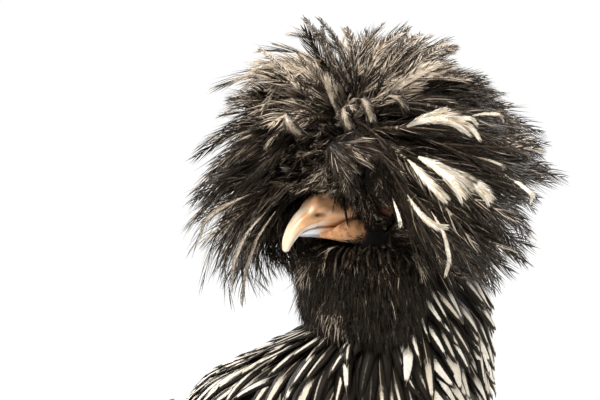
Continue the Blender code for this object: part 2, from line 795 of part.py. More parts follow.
def shank(side, grow=0.0, finish=None):
    name = "shank_left" if side == LEFT else "shank_right"
    start, end = HOCK + Vector((0, 0.001, 0.002)), ANKLE
    rows = []
    for share, radius in zip((0.0, 0.25, 0.7, 1.0), SHANK_RADII):
        place = start.lerp(end, share)
        rows.append((place.x * side, place.y, place.z, radius * 0.9, radius * 1.1, radius * 1.1))
    return loft(name, rows, (0.004, 0.003), X, 6, 10, grow, finish)


def floor_block():
    """A block under the floor, which trims what stands on it."""
    size = 0.4
    bottom = [Vector((x, y, -0.05)) for x, y in ((-size, -size), (size, -size), (size, size), (-size, size))]
    top = [p + Z * 0.05 for p in bottom]
    faces = [(3, 2, 1, 0), (4, 5, 6, 7)] + [(k, (k + 1) % 4, (k + 1) % 4 + 4, k + 4) for k in range(4)]
    return make_object("floor_block", bottom + top, faces)


def pad(side, grow=0.0, finish=None):
    name = "foot_left" if side == LEFT else "foot_right"
    wide, long, tall = (v + grow for v in PAD_RADII)
    centre = Vector((ANKLE.x * side, ANKLE.y - TOES_AHEAD, PAD_HEIGHT))
    return ball(name, centre, (wide, long, tall), 10, 6, finish)


def toe_way(side, turn):
    """Level direction of a toe, turned outwards from straight ahead."""
    angle = math.radians(turn)
    return Vector((math.sin(angle) * side, -math.cos(angle), 0.0))


def toe(side, row, grow=0.0, finish=None):
    """One toe lying on the floor, with a step at each joint pad."""
    name, turn, length, root, tip, _ = row
    label = "left" if side == LEFT else "right"
    way = toe_way(side, turn)
    start = Vector((ANKLE.x * side, ANKLE.y - TOES_AHEAD, 0.0))
    rows = []
    joints = 3 if length > 0.05 else 2
    for i in range(2 * joints + 1):
        share = i / (2 * joints)
        radius = root + (tip - root) * share + TOE_JOINTS[i % 2]
        place = start + way * (TOE_START + length * share)
        rows.append((place.x, place.y, radius - TOE_FLAT, radius, radius, radius))
    return loft(f"toe_{label}_{name}", rows, (0.002, 0.003), way.cross(Z), 2 * joints + 1, 7, grow, finish)


def claw(side, row, finish=None):
    name, turn, length, _, tip, claw_length = row
    label = "left" if side == LEFT else "right"
    way = toe_way(side, turn)
    start = Vector((ANKLE.x * side, ANKLE.y - TOES_AHEAD, 0.0)) + way * (TOE_START + length)
    rows = []
    for share, radius, height in CLAW_ROWS:
        place = start + way * (claw_length * share)
        rows.append((place.x, place.y, height, radius * 0.85, radius, radius))
    return loft(f"claw_{label}_{name}", rows, (0.001, 0.0004), way.cross(Z), 4, 5, 0.0, finish)


def build_leg(side, plumage, scales, horn):
    shade(cut(thigh(side, finish=plumage), [torso(GAP), shank(side, GAP)]))
    shade(cut(shank(side, finish=scales), [pad(side, GAP)]))
    foot = pad(side, finish=scales)
    shade(cut(foot, [floor_block()]))
    for i, row in enumerate(TOES):
        others = [pad(side, GAP), shank(side, GAP), floor_block()]
        others += [toe(side, before, GAP) for before in TOES[:i]]
        shade(cut(toe(side, row, finish=scales), others))
        shade(cut(claw(side, row, horn), [toe(side, row, GAP), floor_block()]))


def main():
    clear_scene()
    black = material("black_plumage", (0.03, 0.028, 0.026), 0.6)
    laced = material("laced_plumage", (0.35, 0.33, 0.30), 0.6)
    skin = material("face_skin", (0.45, 0.12, 0.07), 0.5)
    horn = material("pale_horn", (0.80, 0.62, 0.45), 0.35)
    scales = material("slate_scales", (0.16, 0.18, 0.21), 0.5)
    glass = material("eye", (0.30, 0.09, 0.02), 0.1)
    lobe = material("ear_lobe", (0.75, 0.70, 0.66), 0.5)

    shade(torso(finish=laced))
    round_neck = [skull(GAP), bill_upper(GAP), bill_lower(GAP), ear(LEFT, GAP), ear(RIGHT, GAP)]
    shade(cut(neck(finish=laced), round_neck + [torso(GAP), beard_outline(GAP)]))
    build_head(skin)
    for side in (LEFT, RIGHT):
        shade(eyeball(side, finish=glass))
        build_ear(side, lobe)
    build_bill(horn)
    shade(cut(comb(finish=skin), [skull(GAP), bill_upper(GAP)]))
    build_beard(black)
    build_crest(black)
    for side in (LEFT, RIGHT):
        build_wing(side, laced)
        build_leg(side, laced, scales, horn)
    build_tail(laced)
    centre_over_origin()


main()
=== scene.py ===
"""Looks of the standing crested hen: one skin, feathers as solid mesh, bill, eyes and legs.

Metres, in the frame of the packed model. She faces -Y, her left side is +X and her head is
turned to her right. Sizes and places are those of the solids before they were centred;
SHIFT brings them into the frame.
"""

import math
from collections import namedtuple

import bmesh
import bpy
import numpy as np
from mathutils import Matrix, Vector
from mathutils.bvhtree import BVHTree


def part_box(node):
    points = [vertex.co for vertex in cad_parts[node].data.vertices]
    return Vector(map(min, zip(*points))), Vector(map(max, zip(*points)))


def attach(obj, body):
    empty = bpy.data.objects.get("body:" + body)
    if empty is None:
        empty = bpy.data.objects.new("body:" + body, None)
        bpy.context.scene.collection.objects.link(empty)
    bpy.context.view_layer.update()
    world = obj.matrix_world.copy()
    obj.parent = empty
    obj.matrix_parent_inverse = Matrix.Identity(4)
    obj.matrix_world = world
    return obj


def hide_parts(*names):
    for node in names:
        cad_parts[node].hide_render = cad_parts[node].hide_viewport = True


SEED = 11
LEFT, RIGHT = 1, -1
GOLDEN = math.pi * (3 - math.sqrt(5))
Z = np.array((0.0, 0.0, 1.0))

# Feathers: the breadth each takes on the unwrap, and for the strands of their colour, how far they
# slant towards the tip and how much they change from the shaft to the edge
UV_PATCH = 0.003
BARB_SLANT = 0.12
SIDE_BLEND = 0.45

# Photo: size in pixels, the camera's angle and distance, and where the skull's centre shows
PHOTO_SIZE = (600, 400)
VIEW_AZIMUTH, VIEW_ELEVATION = math.radians(-50), math.radians(4)
VIEW_DISTANCE = 0.611
LENS, SENSOR = 110.0, 36.0
SKULL_PIXEL = (387, 211)
PIXELS_PER_METRE = 3000.0

# Studio: light from all round, how bright the surround shows, and each lamp's place to the
# camera's side, to the right of the camera's line and over the head, its size and its power
SURROUND_LIGHT, SURROUND_SEEN = 0.17, 1.02
LAMPS = (
    ("key", 0.75, -0.45, 0.75, 0.35, 19.0),
    ("fill", 0.8, 0.80, 0.15, 0.8, 4.5),
    ("top", 0.0, -0.15, 1.10, 0.4, 17.0),
    ("rim_left", -0.7, -0.85, 0.35, 0.4, 14.0),
    ("rim_right", -0.7, 0.85, 0.45, 0.4, 14.0),
)

# Head: place of the skull's centre and how far it turns to her right
SKULL = np.array((-0.0085, -0.0660, 0.3180))
HEAD_TURN = math.radians(108)
FORWARD = np.array((-math.sin(HEAD_TURN), -math.cos(HEAD_TURN), 0.0))
SIDE = np.cross(Z, FORWARD)

# Bill stations: forward, up, half width, reach up, reach down
BILL_UPPER = (
    (0.011, 0.0000, 0.0078, 0.0080, 0.0056),
    (0.020, 0.0012, 0.0070, 0.0078, 0.0062),
    (0.0272, 0.0008, 0.0056, 0.0060, 0.0056),
    (0.0313, -0.0010, 0.0046, 0.0040, 0.0040),
    (0.0341, -0.0024, 0.0038, 0.0030, 0.0032),
    (0.0366, -0.0044, 0.0030, 0.0021, 0.0029),
    (0.0383, -0.0068, 0.0024, 0.0017, 0.0024),
    (0.0393, -0.0092, 0.0018, 0.0014, 0.0017),
    (0.0398, -0.0112, 0.0011, 0.0009, 0.0011),
)
BILL_LOWER = (
    (0.011, -0.0068, 0.0062, 0.0034, 0.0026),
    (0.021, -0.0062, 0.0052, 0.0028, 0.0022),
    (0.029, -0.0058, 0.0042, 0.0022, 0.0016),
    (0.0335, -0.0059, 0.0028, 0.0014, 0.0011),
    (0.0350, -0.0061, 0.0017, 0.0009, 0.0007),
)
NOSTRIL = (0.0292, 0.0002)
COMB = ((0.0056, 0.0150, 0.0008), (0.0034, 0.0112, 0.0016), (0.0, 0.0080, 0.0019),
        (-0.0034, 0.0112, 0.0016), (-0.0056, 0.0150, 0.0008))
COMB_FORWARD = 0.0205
EYE = (0.0035, 0.0118, 0.0022)
EYE_RADIUS = 0.0052
EAR = (-0.0065, 0.0138, -0.0055)
EAR_RADII = (0.0034, 0.0022, 0.0048)

# Lids: how far out of the eye's middle they lie, points round and across a roll, and each roll's
# width to the first and its thickness
LID_OUT, LID_STEPS, LID_SIDES = 0.0024, 72, 12
LID_ROLLS = ((1.0, 0.00085), (1.22, 0.00075), (1.42, 0.0006))

# White and cream crest feathers as they show in the photo, with faint ones over the top that are
# dark plumes made pale as a painted highlight: pixels of root, bend and tip, half width, share of
# it that is a whole vane, and how pale
WHITE_AND_HIGHLIT_PLUMES = (
    (414, 122, 438, 109, 461, 128, 0.0021, 0.9, 0.86),
    (424, 119, 446, 116, 470, 132, 0.0017, 0.9, 0.84),
    (440, 117, 462, 117, 480, 139, 0.0009, 0.8, 0.80),
    (424, 119, 434, 112, 447, 110, 0.0009, 0.5, 0.80),
    (452, 116, 466, 116, 477, 124, 0.0007, 0.6, 0.85),
    (415, 163, 424, 180, 447, 200, 0.0015, 0.9, 0.86),
    (428, 160, 448, 170, 463, 198, 0.0024, 0.9, 0.86),
    (436, 164, 462, 174, 471, 191, 0.0014, 0.8, 0.74),
    (450, 171, 474, 178, 490, 202, 0.0019, 0.9, 0.84),
    (456, 169, 470, 176, 481, 185, 0.0007, 0.6, 0.70),
    (414, 206, 425, 225, 447, 227, 0.0011, 0.8, 0.90),
    (396, 210, 400, 217, 400, 226, 0.0006, 0.7, 0.80),
    (443, 226, 452, 248, 446, 276, 0.0008, 0.7, 0.78),
    (485, 111, 495, 112, 504, 120, 0.0006, 0.6, 0.75),
    (494, 159, 499, 164, 504, 169, 0.0006, 0.6, 0.70),
    (522, 179, 528, 190, 532, 201, 0.0009, 0.7, 0.90),
    (527, 146, 536, 150, 546, 152, 0.0006, 0.6, 0.75),
    (222, 205, 208, 213, 199, 237, 0.0010, 0.7, 0.70),
    (243, 226, 236, 250, 231, 293, 0.0009, 0.7, 0.70),
    (254, 226, 248, 262, 241, 306, 0.0009, 0.6, 0.66),
    (275, 110, 287, 119, 300, 134, 0.0022, 0.8, 0.63),
    (339, 101, 343, 113, 350, 129, 0.0019, 0.7, 0.62),
    (357, 92, 367, 99, 371, 121, 0.0018, 0.6, 0.64),
    (385, 90, 397, 95, 403, 107, 0.0014, 0.7, 0.62),
    # From here to the two wide rows, over the top of the crest: dark plumes made pale as a painted highlight
    (302, 97, 286, 68, 258, 47, 0.0011, 0.4, 0.36),
    (384, 93, 410, 76, 440, 62, 0.0016, 0.5, 0.46),
    (345, 78, 326, 42, 303, 17, 0.0014, 0.5, 0.14),
    (350, 74, 340, 40, 318, 17, 0.0013, 0.5, 0.12),
    (336, 76, 322, 46, 322, 24, 0.0012, 0.5, 0.10),
    (352, 80, 358, 48, 345, 26, 0.0016, 0.4, 0.20),
    (358, 84, 372, 48, 406, 30, 0.0020, 0.4, 0.28),
    (376, 84, 392, 52, 422, 32, 0.0018, 0.4, 0.24),
    (396, 84, 424, 52, 454, 46, 0.0020, 0.4, 0.28),
    (326, 143, 350, 140, 371, 160, 0.0046, 0.2, 0.15),
    (322, 141, 334, 154, 352, 173, 0.0040, 0.2, 0.13),
)

# Their stations and barbs, the breadth of their vanes, and how far they lie out of the crest at
# shares of their length
WHITE_STATIONS, WHITE_BARBS, WHITE_VANE = 10, 60, 0.70
WHITE_SINK = ((0, 0.20, 0.6, 1.0), (-0.010, -0.0036, 0.0006, -0.0006))

# Round parts of the crest whose strands are made bright as a painted highlight: pixel in the
# middle, radius in pixels and share of bright strands
HIGHLIGHT_PATCHES = (
    (285, 80, 60, 0.44), (340, 72, 55, 0.48), (375, 92, 38, 0.46), (425, 55, 50, 0.36),
    (215, 215, 50, 0.15), (235, 135, 50, 0.15), (440, 180, 45, 0.14), (490, 110, 50, 0.12),
    (268, 192, 34, 0.32), (400, 92, 40, 0.26),
)

# Crest: the knob it grows from, the way its parting faces and the reach of its feathers
KNOB = np.array((0.004, 0.0, 0.022))
KNOB_RADII = np.array((0.024, 0.025, 0.020))
CREST_TILT = math.radians(47)
CREST_WIDE, CREST_TALL, CREST_HANG = 0.061, 0.042, 0.056
CREST_SPREAD = math.radians(138)
PARTING = (math.radians(-12), math.radians(52))
PARTING_LEAN = math.radians(84)
PARTING_LOW = 0.009
CREST_COUNT = 1160
CREST_CLUMPS = 130
CREST_BARBS = 28
CREST_PIECES = 4
CREST_DROOP = 0.42
CREST_HALF = 0.0051
CREST_STATIONS = 9

# Crest's outline in the photo: the pixel in its middle, the radii in pixels where the fit to the
# outline begins and is full, and the reach by direction in degrees from the picture's right
CREST_MIDDLE = (365, 160)
OUTLINE_RADII = (40, 110)
CREST_SWELL = ((-45, 0.93), (-30, 0.92), (-15, 0.95), (0, 0.96), (15, 0.92), (30, 0.94), (45, 0.98),
               (60, 1.04), (75, 0.99), (90, 0.98), (105, 1.04), (120, 1.04), (135, 1.02), (150, 0.95),
               (160, 0.92), (175, 0.87), (190, 0.93), (205, 1.00), (222, 1.00), (232, 0.78),
               (242, 0.70), (252, 0.90), (260, 1.00))

# Small plumes of the head: how many over the bill's root, at the corners of the mouth and on the
# cheeks, the bristles over the bill and the wisps under it, and the barbs' half thickness
BROW_COUNT, GAPE_COUNT, CHEEK_COUNT = 90, 360, 150
BRISTLE_COUNT, WISP_COUNT = 260, 60
SMALL_BLADE = 0.00013

# Beard outline under the bill: forward, up, half width, reach front, reach back
BEARD = (
    (0.004, -0.0095, 0.0215, 0.0250, 0.0140),
    (0.006, -0.0150, 0.0255, 0.0235, 0.0150),
    (0.008, -0.0250, 0.0265, 0.0200, 0.0150),
    (0.008, -0.0350, 0.0245, 0.0185, 0.0140),
    (0.006, -0.0440, 0.0190, 0.0140, 0.0110),
)
BEARD_COUNT, BEARD_BARBS, BEARD_HALF = 430, 17, 0.0030

# Surface the wing feathers lie on: y, middle height, half width, half height
WING_SIDE = np.array((
    (-0.085, 0.200, 0.052, 0.062),
    (-0.030, 0.192, 0.0715, 0.080),
    (0.030, 0.184, 0.0715, 0.080),
    (0.080, 0.180, 0.061, 0.070),
    (0.130, 0.178, 0.046, 0.058),
))

# Tail: the root of its quills, how steeply its ridge rises, how far its sides spread for their
# depth below the ridge, and the twist of a quill
TAIL_ROOT = np.array((0.0, 0.104, 0.200))
TAIL_RISE = math.radians(20)
TAIL_TENT = 0.24
TAIL_TWIST = 0.12

# Wing tiers: count, first root y and z, last root y and z, lengths, slopes in degrees,
# width, reach out, how white
WING_TIERS = (
    (5, (0.028, 0.190), (0.036, 0.172), (0.092, 0.078), (-3.0, -5.0), 0.0120, 0.0006, 0.60),
    (10, (0.014, 0.230), (0.006, 0.181), (0.074, 0.078), (-25.0, -12.0), 0.0125, 0.0030, 0.80),
    (9, (-0.006, 0.232), (-0.012, 0.184), (0.046, 0.050), (-26.0, -13.0), 0.0125, 0.0048, 0.88),
    (8, (-0.024, 0.232), (-0.030, 0.187), (0.040, 0.042), (-26.0, -14.0), 0.0125, 0.0062, 0.84),
    (8, (-0.040, 0.230), (-0.046, 0.190), (0.034, 0.036), (-26.0, -14.0), 0.0115, 0.0074, 0.80),
    (7, (-0.055, 0.226), (-0.060, 0.194), (0.028, 0.030), (-28.0, -16.0), 0.0110, 0.0084, 0.76),
    (6, (-0.067, 0.221), (-0.070, 0.198), (0.022, 0.024), (-30.0, -18.0), 0.0105, 0.0090, 0.72),
)

# Twist of a wing's quill, and how deep the root of any quill is sunk
WING_TWIST = 0.16
QUILL_SINK = -0.0012

# Tail tiers: count a side, lengths, rises of first and last in degrees, width, reach out
TAIL_TIERS = (
    (7, (0.118, 0.098), (19.0, -20.0), 0.026, 0.0028),
    (6, (0.078, 0.064), (21.0, -21.0), 0.022, 0.0046),
    (6, (0.052, 0.044), (22.0, -22.0), 0.019, 0.0062),
)

# Middle line of the neck, which its feathers lie round, and the height where they begin
NECK_AXIS = np.array((0.0, -0.058, 0.0))
NECK_LOW = 0.236

# Leg joints, for the left leg
KNEE = np.array((0.040, -0.006, 0.140))
HOCK = np.array((0.043, 0.034, 0.090))
ANKLE = np.array((0.045, 0.012, 0.014))
LEG_VOXEL = 0.0009

# Toes: name, turn outwards in degrees, length, radius at root, radius at tip, claw length
TOES = (
    ("hind", 160.0, 0.024, 0.0038, 0.0030, 0.010),
    ("inner", -30.0, 0.041, 0.0042, 0.0030, 0.011),
    ("middle", 2.0, 0.055, 0.0044, 0.0031, 0.012),
    ("outer", 34.0, 0.044, 0.0042, 0.0029, 0.010),
)
TOE_START = 0.005

# Scutes: how many down the shank, each row's turn from the front in degrees and its width, and
# their spacing along a toe
SHANK_SCUTES, TOE_SCUTE = 19, 0.0030
SCUTE_ROWS = ((0.0, 0.0046), (130.0, 0.0032), (-130.0, 0.0032))

# Claw from root to tip: share of its length, half thickness, height of its middle
CLAW_ROWS = ((0.0, 0.0021, 0.0034), (0.4, 0.0018, 0.0036), (0.75, 0.0011, 0.0024), (1.0, 0.0005, 0.0007))

# Fleshy corner of the mouth, from the bill back: forward, left, up, reach out, reach up
GAPE = (
    (0.0290, 0.0040, -0.0064, 0.0007, 0.0008),
    (0.0245, 0.0060, -0.0062, 0.0013, 0.0020),
    (0.0200, 0.0076, -0.0056, 0.0018, 0.0036),
    (0.0165, 0.0090, -0.0052, 0.0018, 0.0032),
    (0.0135, 0.0102, -0.0055, 0.0013, 0.0020),
    (0.0105, 0.0112, -0.0059, 0.0005, 0.0006),
)

# Balls that fill the skin out: the left shoulder's place and radii, and the rump's place from the
# tail's root and its radii
SHOULDER, SHOULDER_RADII = (0.056, -0.020, 0.210), (0.019, 0.062, 0.030)
RUMP_OFFSET, RUMP_RADII = (0, 0.008, 0.004), (0.024, 0.026, 0.026)

# Bare skin: distances from the skull's centre where the head's thin coat ends and is full, and
# from the eye and the gape where the red skin ends and is full
SKULL_FADE, EYE_FADE, GAPE_FADE = (0.030, 0.018), (0.0080, 0.0066), (0.0042, 0.0030)
GAPE_SPOT = (0.0150, 0.0075, -0.0055)

# Coat: its upper end on the neck, the heights between which the thighs' own coat takes over, and
# that coat's lower end
COAT_TOP, THIGH_BAND, THIGH_END = 0.304, (0.132, 0.140), 0.088

# Coat depth over the skin of the body, of the hock and of the head
BODY_DEPTH, HOCK_DEPTH, FACE_DEPTH = 0.0060, 0.0014, 0.0008
SKIN_VOXEL = 0.0026
FLESH = ("torso", "neck", "head", "thigh_left", "thigh_right")

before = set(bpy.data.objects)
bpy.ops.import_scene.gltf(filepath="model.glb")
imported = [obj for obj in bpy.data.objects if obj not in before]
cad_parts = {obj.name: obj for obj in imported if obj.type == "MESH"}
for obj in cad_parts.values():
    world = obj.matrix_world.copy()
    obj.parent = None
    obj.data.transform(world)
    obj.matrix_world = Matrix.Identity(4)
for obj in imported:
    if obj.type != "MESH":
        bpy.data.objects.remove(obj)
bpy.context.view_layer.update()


def unit(v):
    return v / np.maximum(np.linalg.norm(v, axis=-1, keepdims=True), 1e-12)


def smoothstep(low, high, value):
    t = np.clip((value - low) / (high - low), 0.0, 1.0)
    return t * t * (3 - 2 * t)


def find_shift():
    """How far the packed model lies from the place that the sizes here are given in."""
    low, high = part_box("eye_left")
    f, l, u = EYE
    shift = np.array((low + high) / 2) - (SKULL + FORWARD * f + SIDE * l + Z * u)
    return shift * (1, 1, 0)


SHIFT = find_shift()


def head_points(places):
    """Places given forward, left and up of the skull's centre."""
    places = np.asarray(places, float)
    return SKULL + SHIFT + places[..., :1] * FORWARD + places[..., 1:2] * SIDE + places[..., 2:] * Z


def head_ways(ways):
    return head_points(ways) - head_points(np.zeros(3))


def smooth_rows(rows, count):
    """Rows of numbers resampled along a smooth curve through them."""
    rows = np.array(rows, float)
    last = len(rows) - 1
    s = np.linspace(0, last, count)
    i = np.minimum(s.astype(int), last - 1)
    t = (s - i)[:, None]
    a, b = rows[np.maximum(i - 1, 0)], rows[i]
    c, d = rows[i + 1], rows[np.minimum(i + 2, last)]
    bend = 2 * a - 5 * b + 4 * c - d
    return 0.5 * (2 * b + (c - a) * t + bend * t ** 2 + (3 * b - a - 3 * c + d) * t ** 3)


def new_object(name, mesh, material):
    piece = bpy.data.objects.new(name, mesh)
    bpy.context.scene.collection.objects.link(piece)
    mesh.materials.clear()
    mesh.materials.append(material)
    return piece


def side_label(side):
    return "left" if side == LEFT else "right"


def finish_piece(piece, replaced=()):
    """Says what a piece rides on, which slot it has and which nodes it stands in for."""
    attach(piece, "root")
    if replaced:
        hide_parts(*replaced)
    return piece


def finish_coat(coat, name, material, count, replaced=()):
    """Builds a piece of feathers and gives its name, its number of feathers and of triangles."""
    finish_piece(coat.build(name, material), replaced)
    return (name, count, coat.triangles())


class Nodes:
    """A small helper that wires one material."""

    def __init__(self, name, roughness, **sockets):
        self.material = bpy.data.materials.new(name)
        self.material.use_nodes = True
        self.tree = self.material.node_tree
        self.shader = self.tree.nodes["Principled BSDF"]
        self.shader.inputs["Roughness"].default_value = roughness
        for label, value in sockets.items():
            self.shader.inputs[label.replace("_", " ")].default_value = value

    def add(self, kind, inputs=None, **settings):
        made = self.tree.nodes.new(kind)
        for label, value in settings.items():
            setattr(made, label, value)
        for label, value in (inputs or {}).items():
            self.put(value, made.inputs[label])
        return made

    def put(self, value, socket):
        if isinstance(value, bpy.types.NodeSocket):
            self.tree.links.new(value, socket)
        elif isinstance(value, (int, float)):
            socket.default_value = value
        else:
            socket.default_value = (*value, 1.0) if len(value) == 3 and socket.type == "RGBA" else value

    def attribute(self, name):
        return self.add("ShaderNodeAttribute", attribute_name=name).outputs["Fac"]

    def math(self, operation, first, second=0.0, third=0.0):
        return self.add("ShaderNodeMath", {0: first, 1: second, 2: third},
                        operation=operation).outputs[0]

    def noise(self, scale, detail=3.0, vector=None):
        inputs = {"Scale": scale, "Detail": detail, "Vector": vector or self.place()}
        return self.add("ShaderNodeTexNoise", inputs).outputs["Fac"]

    def strands(self, rate):
        """A value that changes from barb to barb."""
        across, along = self.attribute("across"), self.attribute("along")
        root = self.math("MULTIPLY_ADD", self.math("ABSOLUTE", across), -BARB_SLANT, along)
        vector = self.add("ShaderNodeCombineXYZ", {
            "X": self.math("MULTIPLY", root, rate), "Y": self.math("MULTIPLY", across, SIDE_BLEND),
            "Z": self.math("MULTIPLY", self.attribute("tone"), 90.0)}).outputs[0]
        return self.noise(1.0, 2.0, vector)

    def place(self):
        return self.add("ShaderNodeTexCoord").outputs["Object"]

    def step(self, value, low, high):
        """Smoothly 0 under low and 1 over high."""
        inputs = {"Value": value, "From Min": low, "From Max": high}
        return self.add("ShaderNodeMapRange", inputs, interpolation_type="SMOOTHSTEP").outputs[0]

    def mix(self, factor, first, second):
        """First where the factor is 0 and second where it is 1."""
        made = self.add("ShaderNodeMix", {0: factor, 6: first, 7: second}, data_type="RGBA")
        return made.outputs[2]

    def colour(self, value):
        self.put(value, self.shader.inputs["Base Color"])

    def rough(self, value):
        self.put(value, self.shader.inputs["Roughness"])

    def bump(self, height, strength, distance):
        inputs = {"Height": height, "Strength": strength, "Distance": distance}
        self.put(self.add("ShaderNodeBump", inputs).outputs[0], self.shader.inputs["Normal"])


def plume_material():
    """Loose black plumes with brown and grey strands; pale ones are cream white."""
    n = Nodes("black_plumes", 0.36, Specular_IOR_Level=0.27, Specular_Tint=(1.0, 0.84, 0.66, 1.0))
    streak, pale = n.strands(44.0), n.attribute("pale")
    across = n.math("ABSOLUTE", n.attribute("across"))
    tinge = n.math("MULTIPLY", pale, n.step(pale, 0.62, 0.50))
    bright = n.math("MULTIPLY_ADD", tinge, 0.62, streak)
    dark = n.mix(n.attribute("tone"), (0.0030, 0.0022, 0.0018), (0.0150, 0.0100, 0.0065))
    # Paler brown and bright strands: partly the plumes' own pale barbs, partly painted highlight where the
    # crest's highlight patches raise pale.
    dark = n.mix(n.step(tinge, 0.10, 0.55), dark, (0.030, 0.022, 0.015))
    dark = n.mix(n.step(bright, 0.58, 0.67), dark, (0.060, 0.041, 0.026))
    dark = n.mix(n.step(bright, 0.67, 0.75), dark, (0.58, 0.48, 0.37))
    # Painted shade: darker towards the roots, inside the crest and beard.
    dark = n.mix(n.step(n.attribute("along"), 0.42, 0.08), dark, (0.0035, 0.0026, 0.0020))
    centre = n.step(across, 0.10, 0.02)
    dark = n.mix(n.math("MULTIPLY", centre, 0.16), dark, (0.20, 0.150, 0.10))
    cream = n.mix(n.step(streak, 0.34, 0.56), (0.56, 0.43, 0.27), (0.84, 0.78, 0.68))
    beige = n.mix(n.step(streak, 0.36, 0.60), (0.14, 0.105, 0.075), (0.40, 0.33, 0.25))
    white = n.mix(n.step(pale, 0.66, 0.80), beige, cream)
    # Cream and beige where pale is raised: the white plumes' own colour, and on faint plumes a painted
    # highlight.
    fringe = n.math("MULTIPLY_ADD", streak, -0.55, n.math("MULTIPLY_ADD", across, -0.42, pale))
    n.colour(n.mix(n.step(fringe, 0.08, 0.26), dark, white))
    n.rough(n.math("MULTIPLY_ADD", streak, 0.25, 0.24))
    return n.material


def laced_material():
    """White feathers with a black lace round the edge, finely ribbed by their barbs."""
    n = Nodes("laced_feathers", 0.55, Specular_IOR_Level=0.13, Specular_Tint=(1.0, 0.86, 0.70, 1.0))
    across, along = n.math("ABSOLUTE", n.attribute("across")), n.attribute("along")
    pale, tone, streak = n.attribute("pale"), n.attribute("tone"), n.strands(70.0)
    blur = n.math("MULTIPLY_ADD", streak, 0.34, -0.17)
    from_edge = n.math("ADD", n.math("SUBTRACT", 1.0, across), blur)
    lace = n.math("MULTIPLY_ADD", pale, -0.68, 0.98)
    from_tip = n.math("ADD", n.math("SUBTRACT", 1.0, along), n.math("MULTIPLY", blur, 0.4))
    tip_lace = n.math("MULTIPLY_ADD", pale, -0.06, 0.15)
    inside = n.math("MINIMUM", n.math("DIVIDE", from_edge, lace), n.math("DIVIDE", from_tip, tip_lace))
    white = n.math("MULTIPLY", n.step(inside, 0.90, 1.12), n.step(pale, 0.02, 0.10))
    white = n.math("MULTIPLY", white, n.step(n.math("MULTIPLY_ADD", streak, 0.3, along), 0.58, 0.76))
    black = n.mix(tone, (0.0035, 0.0028, 0.0024), (0.013, 0.0095, 0.0070))
    black = n.mix(n.step(streak, 0.58, 0.82), black, (0.040, 0.029, 0.020))
    pure = n.mix(tone, (0.76, 0.71, 0.63), (0.58, 0.51, 0.41))
    pure = n.mix(n.step(streak, 0.48, 0.72), pure, (0.42, 0.36, 0.28))
    pure = n.mix(n.step(along, 0.55, 0.20), pure, (0.22, 0.20, 0.18))
    body = n.mix(white, black, pure)
    shaft = n.math("MULTIPLY", n.step(across, 0.09, 0.02), n.step(pale, 0.1, 0.4))
    n.colour(n.mix(n.math("MULTIPLY", shaft, 0.6), body, (0.62, 0.52, 0.36)))
    n.bump(streak, 0.35, 0.00025)
    return n.material


def skin_material():
    """Bare skin: dark under the crest and beard, grey on the body and red on the face."""
    n = Nodes("hen_skin", 0.75, Specular_IOR_Level=0.15, Subsurface_Weight=0.08,
              Subsurface_Scale=0.002)
    grain = n.noise(900.0, 4.0)
    dark = n.mix(grain, (0.004, 0.003, 0.002), (0.012, 0.009, 0.007))
    grey = n.mix(grain, (0.012, 0.010, 0.008), (0.045, 0.038, 0.031))
    coat = n.mix(n.attribute("pale"), dark, grey)
    red = n.mix(n.noise(500.0, 4.0), (0.14, 0.036, 0.016), (0.32, 0.105, 0.048))
    n.colour(n.mix(n.attribute("face"), coat, red))
    n.bump(n.noise(1400.0, 3.0), 0.5, 0.0004)
    return n.material


def face_material():
    """Orange-red bare skin, darker in its wrinkles."""
    n = Nodes("bare_face", 0.48, Specular_IOR_Level=0.45, Subsurface_Weight=0.10,
              Subsurface_Scale=0.0015)
    grain = n.noise(700.0, 4.0)
    orange = n.mix(grain, (0.46, 0.19, 0.070), (0.72, 0.40, 0.19))
    red = n.mix(grain, (0.22, 0.080, 0.030), (0.50, 0.24, 0.105))
    body = n.mix(n.step(n.attribute("along"), 0.15, 0.95), orange, red)
    blotch = n.math("MULTIPLY", n.step(n.noise(420.0, 4.0), 0.46, 0.60), 0.62)
    body = n.mix(blotch, body, (0.21, 0.085, 0.030))
    # Painted shade: darker where across marks a sunken fold or groove.
    n.colour(n.mix(n.step(n.attribute("across"), 0.20, 0.85), body, (0.075, 0.026, 0.010)))
    n.bump(n.noise(1500.0, 4.0), 0.6, 0.0003)
    return n.material


